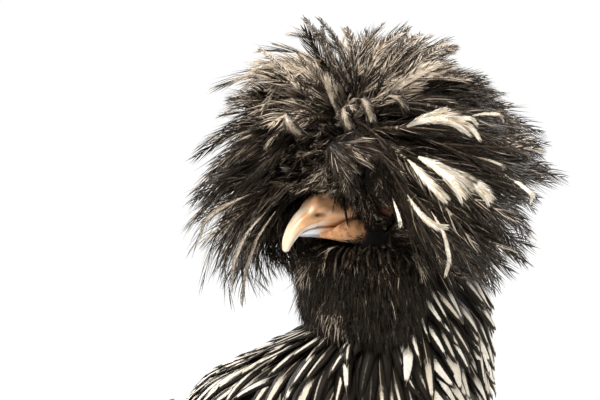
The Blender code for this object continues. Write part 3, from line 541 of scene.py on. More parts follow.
def horn_material():
    """Cream bill: orange and brown round the nostril, with a white band along its edge."""
    n = Nodes("pale_bill", 0.34, Specular_IOR_Level=0.5, Subsurface_Weight=0.10,
              Subsurface_Scale=0.0012, Coat_Weight=0.12, Coat_Roughness=0.25)
    along, across = n.attribute("along"), n.attribute("across")
    streak = n.noise(420.0, 3.0)
    blotch = n.noise(260.0, 3.0)
    tan = n.mix(n.step(blotch, 0.35, 0.65), (0.62, 0.29, 0.115), (0.80, 0.50, 0.26))
    pink = n.mix(streak, (0.58, 0.27, 0.12), (0.78, 0.46, 0.25))
    cream = n.mix(streak, (0.70, 0.54, 0.36), (0.84, 0.71, 0.54))
    body = n.mix(n.step(along, 0.28, 0.42), pink, tan)
    body = n.mix(n.step(along, 0.55, 0.80), body, cream)
    body = n.mix(n.math("MULTIPLY", n.step(across, -0.72, -0.92), n.step(along, 0.25, 0.45)), body, cream)
    # Painted shade: brown in front of and round the nostril.
    side = n.math("SUBTRACT", 1.0, n.math("ABSOLUTE", n.math("MULTIPLY_ADD", across, 1.8, 0.40)))
    shade = n.math("MULTIPLY", n.step(side, 0.1, 0.9), n.step(along, 0.60, 0.40))
    shade = n.math("MULTIPLY", shade, n.step(blotch, 0.30, 0.62))
    body = n.mix(n.math("MULTIPLY", shade, 0.85), body, (0.24, 0.125, 0.045))
    # Painted highlight: a white band along the bill's lower edge.
    edge = n.math("MULTIPLY", n.step(across, 0.30, 0.55), n.step(along, 0.20, 0.34))
    edge = n.math("MULTIPLY", edge, n.step(streak, 0.25, 0.50))
    body = n.mix(n.math("MULTIPLY", edge, 0.8), body, (0.88, 0.80, 0.70))
    # Painted shade in the nostril pit, which the pale attribute carries.
    n.colour(n.mix(n.attribute("pale"), body, (0.13, 0.060, 0.030)))
    n.bump(n.noise(900.0, 3.0), 0.25, 0.0003)
    return n.material


def lower_bill_material():
    """Bluish white lower bill, orange towards its root."""
    n = Nodes("lower_bill", 0.36, Specular_IOR_Level=0.5, Coat_Weight=0.10, Coat_Roughness=0.25)
    streak = n.noise(420.0, 3.0)
    blue = n.mix(streak, (0.34, 0.34, 0.35), (0.64, 0.65, 0.67))
    orange = n.mix(streak, (0.40, 0.15, 0.045), (0.66, 0.32, 0.14))
    n.colour(n.mix(n.step(n.attribute("along"), 0.35, 0.62), orange, blue))
    n.bump(n.noise(900.0, 3.0), 0.25, 0.0003)
    return n.material


def scale_material():
    """Slate scales with pale edges."""
    n = Nodes("slate_shanks", 0.45, Specular_IOR_Level=0.45)
    cells = n.add("ShaderNodeTexVoronoi", {"Vector": n.place(), "Scale": 620.0}, feature="DISTANCE_TO_EDGE")
    edge = n.step(cells.outputs["Distance"], 0.02, 0.16)
    blotch = n.noise(160.0, 4.0)
    slate = n.mix(blotch, (0.070, 0.082, 0.098), (0.20, 0.22, 0.24))
    n.colour(n.mix(edge, (0.045, 0.048, 0.052), slate))
    n.bump(edge, 0.45, 0.0004)
    return n.material


def claw_material():
    n = Nodes("claw_horn", 0.35, Specular_IOR_Level=0.5, Coat_Weight=0.1)
    streak = n.noise(600.0, 3.0)
    n.colour(n.mix(streak, (0.09, 0.075, 0.062), (0.34, 0.29, 0.24)))
    n.bump(streak, 0.15, 0.0002)
    return n.material


def eye_material():
    """Dark pupil, orange-brown iris and a dark rim, by the angle from the eye's axis."""
    n = Nodes("hen_eye", 0.06, Specular_IOR_Level=0.6, Coat_Weight=1.0, Coat_Roughness=0.02)
    ring = n.attribute("along")
    fleck = n.noise(1500.0, 4.0)
    iris = n.mix(fleck, (0.30, 0.085, 0.012), (0.62, 0.25, 0.05))
    seen = n.mix(n.step(ring, 0.30, 0.34), (0.003, 0.003, 0.003), iris)
    n.colour(n.mix(n.step(ring, 0.66, 0.74), seen, (0.012, 0.009, 0.008)))
    return n.material


def lobe_material():
    n = Nodes("ear_lobe_skin", 0.5, Specular_IOR_Level=0.4, Subsurface_Weight=0.15,
              Subsurface_Scale=0.002)
    n.colour(n.mix(n.noise(900.0, 4.0), (0.62, 0.50, 0.45), (0.84, 0.78, 0.72)))
    n.bump(n.noise(1600.0, 3.0), 0.4, 0.0003)
    return n.material


def floor_material():
    n = Nodes("pale_floor", 0.6, Specular_IOR_Level=0.2)
    n.colour(n.mix(n.noise(6.0, 5.0), (0.80, 0.80, 0.79), (0.86, 0.86, 0.85)))
    return n.material


class Coat:
    """Feathers of one piece, gathered as arrays before they become one mesh."""

    def __init__(self):
        self.blocks = []

    def add(self, points, faces, across, along, tone, pale, root_uv):
        """Adds N like shapes: points (N, V, 3), the faces of one, and values per point or shape."""
        count, size, _ = points.shape
        spread = [np.broadcast_to(a, (count, size)) for a in (across, along)]
        each = [np.broadcast_to(np.asarray(a, float).reshape(-1, 1), (count, size)) for a in (tone, pale)]
        uv = root_uv[:, None, :] + UV_PATCH * 0.5 * np.stack((spread[0], 2 * spread[1] - 1), -1)
        self.blocks.append((points, faces, *spread, *each, uv))

    def triangles(self):
        return sum(len(b[0]) * sum(len(f) - 2 for f in b[1]) for b in self.blocks)

    def build(self, name, material):
        loops, totals, base = [], [], 0
        for points, faces, *_ in self.blocks:
            count, size, _ = points.shape
            template = np.array([v for f in faces for v in f])
            lengths = np.array([len(f) for f in faces])
            loops.append((template[None] + base + size * np.arange(count)[:, None]).ravel())
            totals.append(np.tile(lengths, count))
            base += count * size
        loops, totals = np.concatenate(loops), np.concatenate(totals)
        columns = [np.concatenate([b[k].reshape(-1, *b[k].shape[2:]) for b in self.blocks])
                   for k in (0, 2, 3, 4, 5, 6)]
        mesh = bpy.data.meshes.new(name)
        mesh.vertices.add(len(columns[0]))
        mesh.loops.add(len(loops))
        mesh.polygons.add(len(totals))
        mesh.vertices.foreach_set("co", columns[0].astype(np.float32).ravel())
        mesh.loops.foreach_set("vertex_index", loops.astype(np.int32))
        starts = np.concatenate(([0], np.cumsum(totals)[:-1]))
        mesh.polygons.foreach_set("loop_start", starts.astype(np.int32))
        mesh.polygons.foreach_set("loop_total", totals.astype(np.int32))
        mesh.update(calc_edges=True)
        mesh.shade_smooth()
        for label, values in zip(("across", "along", "tone", "pale"), columns[1:5]):
            made = mesh.attributes.new(label, "FLOAT", "POINT")
            made.data.foreach_set("value", values.astype(np.float32))
        layer = mesh.uv_layers.new(name="OFBake")
        layer.data.foreach_set("uv", np.clip(columns[5], 0, 1)[loops].astype(np.float32).ravel())
        return new_object(name, mesh, material)


Feathers = namedtuple("Feathers", "path outs half tone pale uv")
Feathers.__doc__ = """Like feathers: paths (N, S, 3) of their shafts, the ways their upper sides face,
half widths (N) or (N, S-1), tones, how pale they are, and their roots' places on the unwrap."""


def pick_feathers(feathers, chosen):
    return Feathers(*[values[chosen] for values in feathers])


def along_path(path, shares):
    """Points at shares (N, M) of paths (N, S, 3)."""
    last = path.shape[1] - 1
    s = np.clip(shares, 0, 1) * last
    i = np.minimum(s.astype(int), last - 1)
    t = (s - i)[..., None]
    rows = np.arange(len(path))[:, None]
    return path[rows, i] * (1 - t) + path[rows, i + 1] * t


def path_axes(path, outs):
    """Ahead, across and up of each station of the paths."""
    ahead = unit(np.gradient(path, axis=1))
    across = unit(np.cross(ahead, outs))
    return ahead, across, np.cross(across, ahead)


def vane_faces(stations):
    """Faces of one closed vane with five points over it and one under it at each station."""
    faces = [tuple(range(5, -1, -1))]
    for i in range(stations - 1):
        a, b = 6 * i, 6 * (i + 1)
        for k in range(4):
            faces.append((a + k, a + k + 1, b + k + 1, b + k))
        faces.append((a + 4, a + 5, b + 5, b + 4))
        faces.append((a + 5, a, b, b + 5))
    top, tip = 6 * (stations - 1), 6 * stations
    for k in range(6):
        faces.append((top + k, top + (k + 1) % 6, tip))
    return faces


def add_vanes(coat, feathers, draw, cup, thick, fray, twist=0.0):
    """Closed vanes that cup round their shafts; fray makes their edges ragged."""
    path, half = feathers.path, feathers.half
    count, stations, _ = path.shape
    ahead, across, up = path_axes(path, feathers.outs)
    turn = np.broadcast_to(np.asarray(twist, float).reshape(-1, 1, 1), (count, 1, 1))
    across, up = across * np.cos(turn) + up * np.sin(turn), up * np.cos(turn) - across * np.sin(turn)
    places = np.array((-1.0, -0.52, 0.0, 0.52, 1.0))
    ragged = 1 + fray * draw.uniform(-1, 1, (count, stations - 1, 5)) * np.abs(places) ** 2
    wide = half[:, :, None] * places * ragged
    drop = -np.asarray(cup).reshape(-1, 1, 1) * half[:, :, None] * places ** 2
    drop = drop + thick * np.array((0.0, 0.35, 1.0, 0.35, 0.0))
    body = (path[:, :-1, None] + across[:, :-1, None] * wide[..., None] + up[:, :-1, None] * drop[..., None])
    under = path[:, :-1, None] - up[:, :-1, None] * (thick * 0.35)
    slide = draw.uniform(-0.25, 0.25, (count, stations - 1, 5)) * np.abs(places) ** 2 * fray * 2
    slide = slide[..., None] * np.linalg.norm(path[:, 1:] - path[:, :-1], axis=-1)[:, :, None, None]
    body = body + ahead[:, :-1, None] * slide
    points = np.concatenate((body, under), 2).reshape(count, -1, 3)
    points = np.concatenate((points, path[:, -1:]), 1)
    shares = np.linspace(0, 1, stations)
    flat = np.tile(np.append(places, 0.0), stations - 1)
    along = np.repeat(shares[:-1], 6)
    coat.add(points, vane_faces(stations - 1), np.append(flat, 0.0), np.append(along, 1.0),
             *feathers[3:])


def strip_faces(stations):
    """Faces of one closed three-sided strip that ends in a point."""
    faces = [(2, 1, 0)]
    for i in range(stations - 2):
        a, b = 3 * i, 3 * (i + 1)
        faces += [(a + k, a + (k + 1) % 3, b + (k + 1) % 3, b + k) for k in range(3)]
    top, tip = 3 * (stations - 2), 3 * (stations - 1)
    faces += [(top + k, top + (k + 1) % 3, tip) for k in range(3)]
    return faces


def add_strips(coat, feathers, thick, across_value, along_value):
    """Thin closed strips along the paths."""
    path = feathers.path
    count, stations, _ = path.shape
    _, across, up = path_axes(path, feathers.outs)
    across, up = across[:, :-1], up[:, :-1]
    wide = across * feathers.half[..., None]
    stack = np.stack((path[:, :-1] - wide, path[:, :-1] + wide, path[:, :-1] + up * thick), 2)
    points = np.concatenate((stack.reshape(count, -1, 3), path[:, -1:]), 1)
    across_value = np.broadcast_to(across_value, (count, stations))
    along_value = np.broadcast_to(along_value, (count, stations))
    spread = [np.concatenate((np.repeat(a[:, :-1], 3, 1), a[:, -1:]), 1)
              for a in (across_value, along_value)]
    coat.add(points, strip_faces(stations), *spread, *feathers[3:])


# Plumes: thickness of a barb and of a shaft, the shaft's least half width, the share of the shaft
# where the barbs begin, and the width by share of the length
BARB_THICK, SHAFT_THICK, SHAFT_LEAST, PLUME_FIRST = 0.00012, 0.00022, 0.00018, 0.06
PLUME_SHAPE = ((0.0, 0.30), (0.18, 0.75), (0.42, 1.0), (0.72, 0.90), (0.92, 0.62), (1.0, 0.45))


def add_barbs(coat, feathers, draw, barbs, first, angles, loose, blade, sag=0.0, inner=0.0,
              rolls=0.30, shape=PLUME_SHAPE, cup=0.0):
    """Free barbs on both sides of the shafts, from an inner share of the width.

    They begin at the share first of the shaft, leave it at angles in degrees from root to tip,
    and stray, roll and sag; blade is their half thickness.
    """
    path, half = feathers.path, feathers.half
    count = len(path)
    ahead, across, up = path_axes(path, feathers.outs)
    length = np.linalg.norm(np.diff(path, axis=1), axis=2).sum(1)[:, None]
    for side in (-1, 1):
        step = (np.arange(barbs) + draw.uniform(0, 1, (count, barbs))) / barbs
        t = first + (0.985 - first) * step
        way, out_way, high = [unit(along_path(a, t)) for a in (ahead, across, up)]
        width = half[:, None] * np.interp(t, *zip(*shape))
        root = along_path(path, t) + out_way * (side * inner * width)[..., None]
        root = root - high * (cup * width * inner ** 2)[..., None]
        base = np.radians(angles[0] + (angles[1] - angles[0]) * t)
        angle = base * draw.uniform(1 - loose * 2, 1 + loose * 2, t.shape)
        reach = np.minimum(width * (1 - inner) / np.sin(base), (1.07 - t) * length)
        reach = reach * draw.uniform(1 - loose * 1.6, 1 + loose, t.shape)
        tilt = draw.normal(0.0, loose * 0.5, t.shape)
        lean = out_way * side * np.sin(angle)[..., None] + way * np.cos(angle)[..., None]
        lean = lean + high * tilt[..., None]
        after = out_way * side * np.sin(angle * 0.45)[..., None] + way * np.cos(angle * 0.45)[..., None]
        after = after + high * (tilt * 1.5 - 0.05)[..., None] - Z * sag
        middle = root + lean * (reach * 0.5)[..., None]
        end = middle + after * (reach * 0.5)[..., None]
        strand = np.stack((root, middle, end), 2).reshape(-1, 3, 3)
        roll = draw.normal(0, rolls, t.shape)[..., None]
        high = high * np.cos(roll) + out_way * np.sin(roll)
        normal = np.repeat(high.reshape(-1, 1, 3), 3, 1)
        breadth = np.tile((blade, blade * 0.8), (len(strand), 1)) * draw.uniform(0.7, 1.25, (len(strand), 1))
        span = inner + (1 - inner) * np.array((0.0, 0.5, 1.0))
        along = t.reshape(-1, 1) + BARB_SLANT * span
        values = [np.repeat(a, barbs, 0) for a in feathers[3:]]
        add_strips(coat, Feathers(strand, normal, breadth, *values), BARB_THICK, span * side, along)


def add_plumes(coat, feathers, draw, barbs, angles=(32.0, 9.0), loose=0.15, core=0.34,
               blade=0.00019, sag=0.0):
    """Plumes with a narrow closed vane, a core share of their width, and free barbs beside it."""
    shares = np.linspace(0, 1, feathers.path.shape[1])
    shape = np.interp(shares, *zip(*PLUME_SHAPE))
    width = feathers.half[:, None] * core * shape[None, :-1] * (1 - 0.5 * shares[None, :-1])
    vanes = feathers._replace(half=np.maximum(width, SHAFT_LEAST))
    add_strips(coat, vanes, SHAFT_THICK, 0.0, shares)
    add_barbs(coat, feathers, draw, barbs, PLUME_FIRST, angles, loose, blade, sag)


def read_rows(items, field, width, kind=np.float32):
    """One field of a mesh's items as an array (N, width)."""
    values = np.zeros(len(items) * width, kind)
    items.foreach_get(field, values)
    return values.reshape(-1, width)


def read_points(mesh, field="co"):
    return read_rows(mesh.vertices, field, 3).astype(float)


def write_points(mesh, points):
    """Puts a mesh's points in new places and shades it smooth."""
    mesh.vertices.foreach_set("co", points.astype(np.float32).ravel())
    mesh.update()
    mesh.shade_smooth()


class Surface:
    """A closed mesh with its search tree, smooth normals and unwrap."""

    def __init__(self, piece):
        mesh = piece.data
        mesh.calc_loop_triangles()
        self.points, self.normals = read_points(mesh), read_points(mesh, "normal")
        self.corners = read_rows(mesh.loop_triangles, "vertices", 3, np.int32)
        loops = read_rows(mesh.loop_triangles, "loops", 3, np.int32)
        self.uv = read_rows(mesh.uv_layers["OFBake"].data, "uv", 2)[loops].astype(float)
        self.tree = BVHTree.FromPolygons(self.points.tolist(), self.corners.tolist())

    def nearest(self, places):
        """Nearest points on the surface, their smooth normals and unwrap places."""
        found = [self.tree.find_nearest(p) for p in places.tolist()]
        point = np.array([f[0] for f in found])
        face = np.array([f[2] for f in found])
        corner = self.points[self.corners[face]]
        weight = 1.0 / (np.linalg.norm(corner - point[:, None], axis=-1) + 1e-5)
        weight = (weight / weight.sum(1, keepdims=True))[..., None]
        normal = unit((self.normals[self.corners[face]] * weight).sum(1))
        return point, normal, (self.uv[face] * weight).sum(1)

    def scatter(self, spacing, wanted, draw, tries=60000):
        """Evenly scattered points where wanted(points, normals) holds, spacing(points) apart."""
        a, b, c = [self.points[self.corners[:, k]] for k in range(3)]
        area = np.linalg.norm(np.cross(b - a, c - a), axis=1)
        pick = draw.choice(len(area), tries, p=area / area.sum())
        r, s = np.sqrt(draw.uniform(0, 1, tries)), draw.uniform(0, 1, tries)
        weight = np.stack((1 - r, r * (1 - s), r * s), 1)[..., None]
        points = (self.points[self.corners[pick]] * weight).sum(1)
        normals = unit((self.normals[self.corners[pick]] * weight).sum(1))
        keep = wanted(points - SHIFT, normals)
        points, normals = points[keep], normals[keep]
        uv = (self.uv[pick[keep]] * weight[keep]).sum(1)
        room = spacing(points - SHIFT)
        cell = float(room.max())
        grid, chosen = {}, []
        keys = np.floor(points / cell).astype(int)
        for i, (key, point, radius) in enumerate(zip(keys.tolist(), points.tolist(), room.tolist())):
            near = [q for dx in (-1, 0, 1) for dy in (-1, 0, 1) for dz in (-1, 0, 1)
                    for q in grid.get((key[0] + dx, key[1] + dy, key[2] + dz), ())]
            if all(math.dist(point, q) > radius for q in near):
                grid.setdefault(tuple(key), []).append(point)
                chosen.append(i)
        return points[chosen], normals[chosen], uv[chosen]

    def march(self, start, normal, way_of, length, steps, lift):
        """Paths over the surface from start along way_of(points, normals), lifted by lift (N, steps+1)."""
        point, path, outs = start, [], []
        way = None
        for i in range(steps + 1):
            path.append(point + normal * lift[:, i:i + 1])
            outs.append(normal)
            if i == steps:
                break
            aim = way_of(point - SHIFT, normal)
            aim = unit(aim - normal * (aim * normal).sum(1, keepdims=True))
            way = aim if way is None else unit(way * 0.5 + aim * 0.5)
            way = unit(way - normal * (way * normal).sum(1, keepdims=True))
            point, found, _ = self.nearest(point + way * (length / steps)[:, None])
            normal = unit(normal * 0.4 + found * 0.6)
        return np.stack(path, 1), np.stack(outs, 1)


def ball_mesh(shape, centre, radii, axes, segments=24, rings=16):
    """Adds an ellipsoid to a bmesh."""
    turn = Matrix([list(row) for row in np.array(axes).T]).to_4x4()
    place = Matrix.Translation(Vector(centre)) @ turn @ Matrix.Diagonal((*radii, 1.0))
    bmesh.ops.create_uvsphere(shape, u_segments=segments, v_segments=rings, radius=1.0, matrix=place)


HEAD_AXES = (FORWARD, SIDE, Z)
BODY_AXES = np.eye(3)


def remeshed(name, shape, voxel):
    """One closed surface round everything in a bmesh."""
    mesh = bpy.data.meshes.new(name)
    shape.to_mesh(mesh)
    shape.free()
    piece = bpy.data.objects.new(name, mesh)
    bpy.context.scene.collection.objects.link(piece)
    modifier = piece.modifiers.new("remesh", "REMESH")
    modifier.mode = "VOXEL"
    modifier.voxel_size = voxel
    smooth = piece.modifiers.new("smooth", "SMOOTH")
    smooth.factor = 0.5
    smooth.iterations = 6
    graph = bpy.context.evaluated_depsgraph_get()
    made = bpy.data.meshes.new_from_object(piece.evaluated_get(graph))
    piece.modifiers.clear()
    piece.data = made
    made.name = name
    return piece


def unwrap(piece):
    """Unwraps a piece by its own shape into the map OFBake."""
    while piece.data.uv_layers:
        piece.data.uv_layers.remove(piece.data.uv_layers[0])
    piece.data.uv_layers.new(name="OFBake")
    bpy.ops.object.select_all(action="DESELECT")
    bpy.context.view_layer.objects.active = piece
    piece.select_set(True)
    bpy.ops.object.mode_set(mode="EDIT")
    bpy.ops.mesh.select_all(action="SELECT")
    bpy.ops.uv.smart_project(angle_limit=math.radians(66), island_margin=0.004)
    bpy.ops.object.mode_set(mode="OBJECT")
    piece.select_set(False)


def beside_neck(places):
    """Where raw places lie round the neck: 1 at the camera's right, -1 at its left."""
    outward = unit((places - NECK_AXIS) * (1, 1, 0))
    return outward @ np.array((math.cos(VIEW_AZIMUTH), math.sin(VIEW_AZIMUTH), 0.0))


def neck_paleness(places):
    """How white the feathers are at raw places: dark under the beard, laced on the body."""
    z = places[:, 2]
    beside = beside_neck(places)
    neck = 0.16 + 0.60 * smoothstep(-0.05, 0.40, beside) + 0.38 * smoothstep(-0.20, -0.70, beside)
    body = smoothstep(0.262, 0.228, z)
    return neck * (1 - body) + 0.78 * body


def face_share(places):
    """How much of a place is bare red face, by the nearness to eye and gape."""
    share = np.zeros(len(places))
    for side in (LEFT, RIGHT):
        for spot, fade in ((EYE, EYE_FADE), (GAPE_SPOT, GAPE_FADE)):
            centre = head_points(np.array(spot) * (1, side, 1)) - SHIFT
            share = np.maximum(share, smoothstep(*fade, np.linalg.norm(places - centre, axis=1)))
    return share


def body_depth(raw):
    """Depth of the coat over the skin at raw places: thinner towards the hock."""
    low = smoothstep(0.128, 0.094, raw[:, 2]) * (np.abs(raw[:, 0]) > 0.014)
    return BODY_DEPTH + (HOCK_DEPTH - BODY_DEPTH) * low


def skin_shape():
    """The flesh nodes, with balls that join and fill them under crest, beard, wings and tail."""
    shape = bmesh.new()
    for name in FLESH:
        shape.from_mesh(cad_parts[name].data)
    shape.faces.ensure_lookup_table()
    ball_mesh(shape, head_points(KNOB), KNOB_RADII + 0.003, HEAD_AXES)
    for f, u, half, front, back in smooth_rows(BEARD, 7):
        radii = np.array(((front + back) * 0.5, half, 0.011)) * (0.70, 0.70, 1.0) + BODY_DEPTH * 0.5
        ball_mesh(shape, head_points((f + (front - back) * 0.3, 0.0, u)), radii, HEAD_AXES, 16, 10)
    for side in (LEFT, RIGHT):
        ball_mesh(shape, np.array(SHOULDER) * (side, 1, 1) + SHIFT, SHOULDER_RADII, BODY_AXES)
    ball_mesh(shape, TAIL_ROOT + SHIFT + RUMP_OFFSET, RUMP_RADII, BODY_AXES)
    return shape


def build_skin(material):
    """One skin for the body, neck, head and thighs, inside them by the depth of the coat."""
    piece = remeshed("skin", skin_shape(), SKIN_VOXEL)
    mesh = piece.data
    points, normals = read_points(mesh), read_points(mesh, "normal")
    skull = head_points(np.zeros(3))
    nearness = smoothstep(*SKULL_FADE, np.linalg.norm(points - skull, axis=1))
    depth = body_depth(points - SHIFT)
    depth = depth + (FACE_DEPTH - depth) * nearness
    points = points - normals * depth[:, None]
    write_points(mesh, points)
    raw = points - SHIFT
    grey = smoothstep(0.255, 0.215, raw[:, 2])
    for label, values in (("face", face_share(raw)), ("pale", grey)):
        made = mesh.attributes.new(label, "FLOAT", "POINT")
        made.data.foreach_set("value", values.astype(np.float32))
    mesh.materials.clear()
    mesh.materials.append(material)
    unwrap(piece)
    return piece


def body_flow(places, normals):
    """The lie of the coat at raw places: down the neck and breast, back along the body."""
    x, y, z = places.T
    neck = smoothstep(0.222, 0.262, z) * smoothstep(0.030, -0.010, y)
    front = smoothstep(-0.020, -0.075, y)
    outward = unit((places - NECK_AXIS) * (1, 1, 0))
    round_it = np.cross(Z, outward)
    down = np.stack((np.zeros_like(x), 0.12 * np.ones_like(y), -np.ones_like(z)), 1)
    swirl = 0.62 * smoothstep(-0.15, 0.45, beside_neck(places))[:, None]
    neck_way = down + outward * 0.25 + round_it * swirl
    breast_way = np.stack((np.zeros_like(x), 0.35 + 0 * y, -1.0 + 0 * z), 1)
    side_way = np.stack((0.05 * np.sign(x), 1.0 + 0 * y, -0.42 + 0 * z), 1)
    way = side_way * (1 - front)[:, None] + breast_way * front[:, None]
    way = way * (1 - neck)[:, None] + neck_way * neck[:, None]
    return unit(way)


# Widths of a rounded and a pointed body feather by share of the length
ROUNDED = ((0, 0.18), (0.15, 0.5), (0.4, 0.86), (0.7, 1.0), (0.88, 0.80), (0.96, 0.50), (1.0, 0.0))
POINTED = ((0, 0.20), (0.15, 0.62), (0.38, 1.0), (0.6, 0.90), (0.82, 0.50), (0.94, 0.20), (1.0, 0.0))


def feather_half(shares, point):
    """Width of a vane along it, from a rounded shape (0) to a pointed one (1)."""
    rounded, pointed = [np.interp(shares, *zip(*shape)) for shape in (ROUNDED, POINTED)]
    return rounded * (1 - point) + pointed * point


def on_thigh(x, y, z):
    """Where raw places belong to the thighs' own coat."""
    return (z < THIGH_BAND[1]) & (np.abs(x) > 0.014) & (y > -0.045) & (y < 0.055)


def body_sizes(raw):
    """Length, half width and pointedness of the feathers at raw places."""
    _, y, z = raw.T
    neck = smoothstep(0.226, 0.262, z) * smoothstep(0.040, 0.0, y)
    high = smoothstep(0.262, 0.300, z) * neck
    saddle = smoothstep(0.055, 0.085, y) * smoothstep(0.190, 0.215, z)
    belly = smoothstep(0.165, 0.130, z)
    length = 0.027 + 0.003 * neck - 0.010 * high + 0.010 * saddle - 0.004 * belly
    half = 0.0072 - 0.0043 * neck - 0.0005 * high - 0.0026 * saddle
    point = np.clip(0.75 * neck + 0.8 * saddle, 0, 1)
    return length, half, point


def build_body_coat(skin, material):
    """Small feathers of the neck, breast, back and belly, row over row."""
    draw = np.random.default_rng(SEED + 1)

    def wanted(raw, normals):
        x, y, z = raw.T
        on_wing = (np.abs(x) > 0.049) & (y > -0.044) & (y < 0.060) & (z > 0.185) & (z < 0.232)
        return ~(on_wing | on_thigh(x, y, z) | (z < THIGH_BAND[0]) | (z > COAT_TOP))

    def spacing(raw):
        _, half, point = body_sizes(raw)
        return half * (0.92 + 0.50 * smoothstep(NECK_LOW, 0.262, raw[:, 2]) * point)

    points, normals, uv = skin.scatter(spacing, wanted, draw)
    raw = points - SHIFT
    length, half, point = body_sizes(raw)
    length = length * draw.uniform(0.88, 1.15, len(raw))
    half = half * draw.uniform(0.88, 1.12, len(raw))
    order = np.argsort(raw[:, 2])
    steps = 11
    t = np.linspace(0, 1, steps + 1)
    depth = (BODY_DEPTH - 0.0012) * draw.uniform(0.7, 1.15, len(raw))
    lift = -0.0008 + depth[:, None] * t[None] ** 0.75
    loose = smoothstep(0.225, 0.255, raw[:, 2])
    stray = unit(draw.normal(0, 1, (len(raw), 3))) * (draw.uniform(0, 0.28, len(raw)) * (1 + loose))[:, None]
    path, outs = skin.march(points, normals, lambda p, m: body_flow(p, m) + stray, length, steps, lift)
    shares = t[:-1]
    profile = np.stack([feather_half(shares, p) for p in point])
    pale = np.clip(neck_paleness(raw) + draw.normal(0, 0.10, len(raw)) * (1 + loose), 0.04, 0.92)
    pale = np.where(raw[:, 2] > 0.285, pale * 0.5, pale)
    tone = draw.uniform(0, 1, len(raw))
    feathers = Feathers(path, outs, half[:, None] * profile, tone, pale, uv)
    neck = raw[:, 2] > NECK_LOW
    made = []
    for label, chosen in (("neck_feathers", neck), ("body_feathers", ~neck)):
        coat = Coat()
        pick = order[chosen[order]]
        twist = draw.uniform(-0.12, 0.12, len(pick)) * (1 + loose[pick])
        add_vanes(coat, pick_feathers(feathers, pick), draw, cup=0.22, thick=0.00035, fray=0.10,
                  twist=twist)
        made.append(finish_coat(coat, label, material, len(pick)))
    return made


def wing_points(side, y, z, out):
    """Points on the surface the wing feathers lie on, or a reach out of it, at raw y and z."""
    middle, wide, tall = [np.interp(y, WING_SIDE[:, 0], WING_SIDE[:, k]) for k in (1, 2, 3)]
    height = np.clip((z - middle) / tall, -0.98, 0.98)
    across = wide * np.sqrt(1 - height ** 2)
    slope = unit(np.stack((across / wide ** 2, np.zeros_like(y), (z - middle) / tall ** 2), -1))
    return np.stack(((across + slope[..., 0] * out) * side, y, z + slope[..., 2] * out), -1) + SHIFT


def tail_points(side, y, z, out):
    """Points on one side of the tented tail, or a reach out of it, at raw y and z."""
    ridge_y, ridge_z = math.cos(TAIL_RISE), math.sin(TAIL_RISE)
    below = np.maximum(0.0, (y - TAIL_ROOT[1]) * ridge_z - (z - TAIL_ROOT[2]) * ridge_y)
    return np.stack(((below * TAIL_TENT + out) * side, y, z), -1) + SHIFT


# Quills: their width by share of the length, how much they cup and their barbs a side
QUILL_SHAPE = ((0.0, 0.30), (0.12, 0.62), (0.35, 0.90), (0.65, 1.0), (0.84, 0.90), (0.94, 0.62), (1.0, 0.0))
QUILL_CUP = 0.10
QUILL_BARBS = 16


def add_quills(coat, surface, side, roots, slopes, lengths, wide, out, twist, pale, skin, draw):
    """Flight feathers on a surface of raw y and z; roots (N, 2), slopes in degrees."""
    stations = 15
    t = np.linspace(0, 1, stations)
    count = len(roots)
    angle = np.radians(slopes + draw.uniform(-1, 1, count))
    length = lengths * draw.uniform(0.97, 1.03, count)
    bend = -0.06 * t ** 2
    y = roots[:, :1] + length[:, None] * (np.cos(angle)[:, None] * t + np.sin(angle)[:, None] * bend * -1)
    z = roots[:, 1:] + length[:, None] * (np.sin(angle)[:, None] * t + np.cos(angle)[:, None] * bend)
    lift = QUILL_SINK + (out * draw.uniform(0.94, 1.06, (count, 1)) - QUILL_SINK) * smoothstep(0, 0.3, t)
    path = surface(side, y, z, lift)
    outs = unit(surface(side, y, z, lift + 0.001) - path)
    half = wide / 2 * np.interp(t[:-1], *zip(*QUILL_SHAPE)) * draw.uniform(0.95, 1.05, (count, 1))
    _, _, uv = skin.nearest(path[:, 0])
    tone = draw.uniform(0, 1, count)
    white = np.clip(pale + draw.normal(0, 0.05, count), 0.1, 1.0)
    quills = Feathers(path, outs, half, tone, white, uv)
    add_vanes(coat, quills, draw, cup=QUILL_CUP, thick=0.0006, fray=0.05, twist=twist * side)
    _, across, up = path_axes(path, outs)
    turned = up * math.cos(twist) - across * math.sin(twist * side)
    edges = quills._replace(outs=turned, half=np.full(count, wide / 2))
    add_barbs(coat, edges, draw, QUILL_BARBS, first=0.25, angles=(40.0, 24.0), loose=0.12,
              blade=0.00022, inner=0.84, rolls=0.05, shape=QUILL_SHAPE, cup=QUILL_CUP)


def spaced(first, last, count):
    """Evenly spaced values or pairs from first to last."""
    share = np.linspace(0, 1, count)
    first, last = np.atleast_1d(first), np.atleast_1d(last)
    return np.squeeze(first + (last - first) * share[:, None], -1 if len(first) == 1 else ())


def build_wing(side, skin, material):
    """One folded wing: primaries, secondaries and rows of coverts up to the shoulder."""
    draw = np.random.default_rng(SEED + 5)
    coat = Coat()
    for count, first, last, lengths, slopes, wide, out, pale in WING_TIERS:
        add_quills(coat, wing_points, side, spaced(first, last, count), spaced(*slopes, count),
                   spaced(*lengths, count), wide, out, WING_TWIST, pale, skin, draw)
    label = side_label(side)
    return finish_coat(coat, f"wing_quills_{label}", material,
                       sum(row[0] for row in WING_TIERS), (f"wing_{label}",))


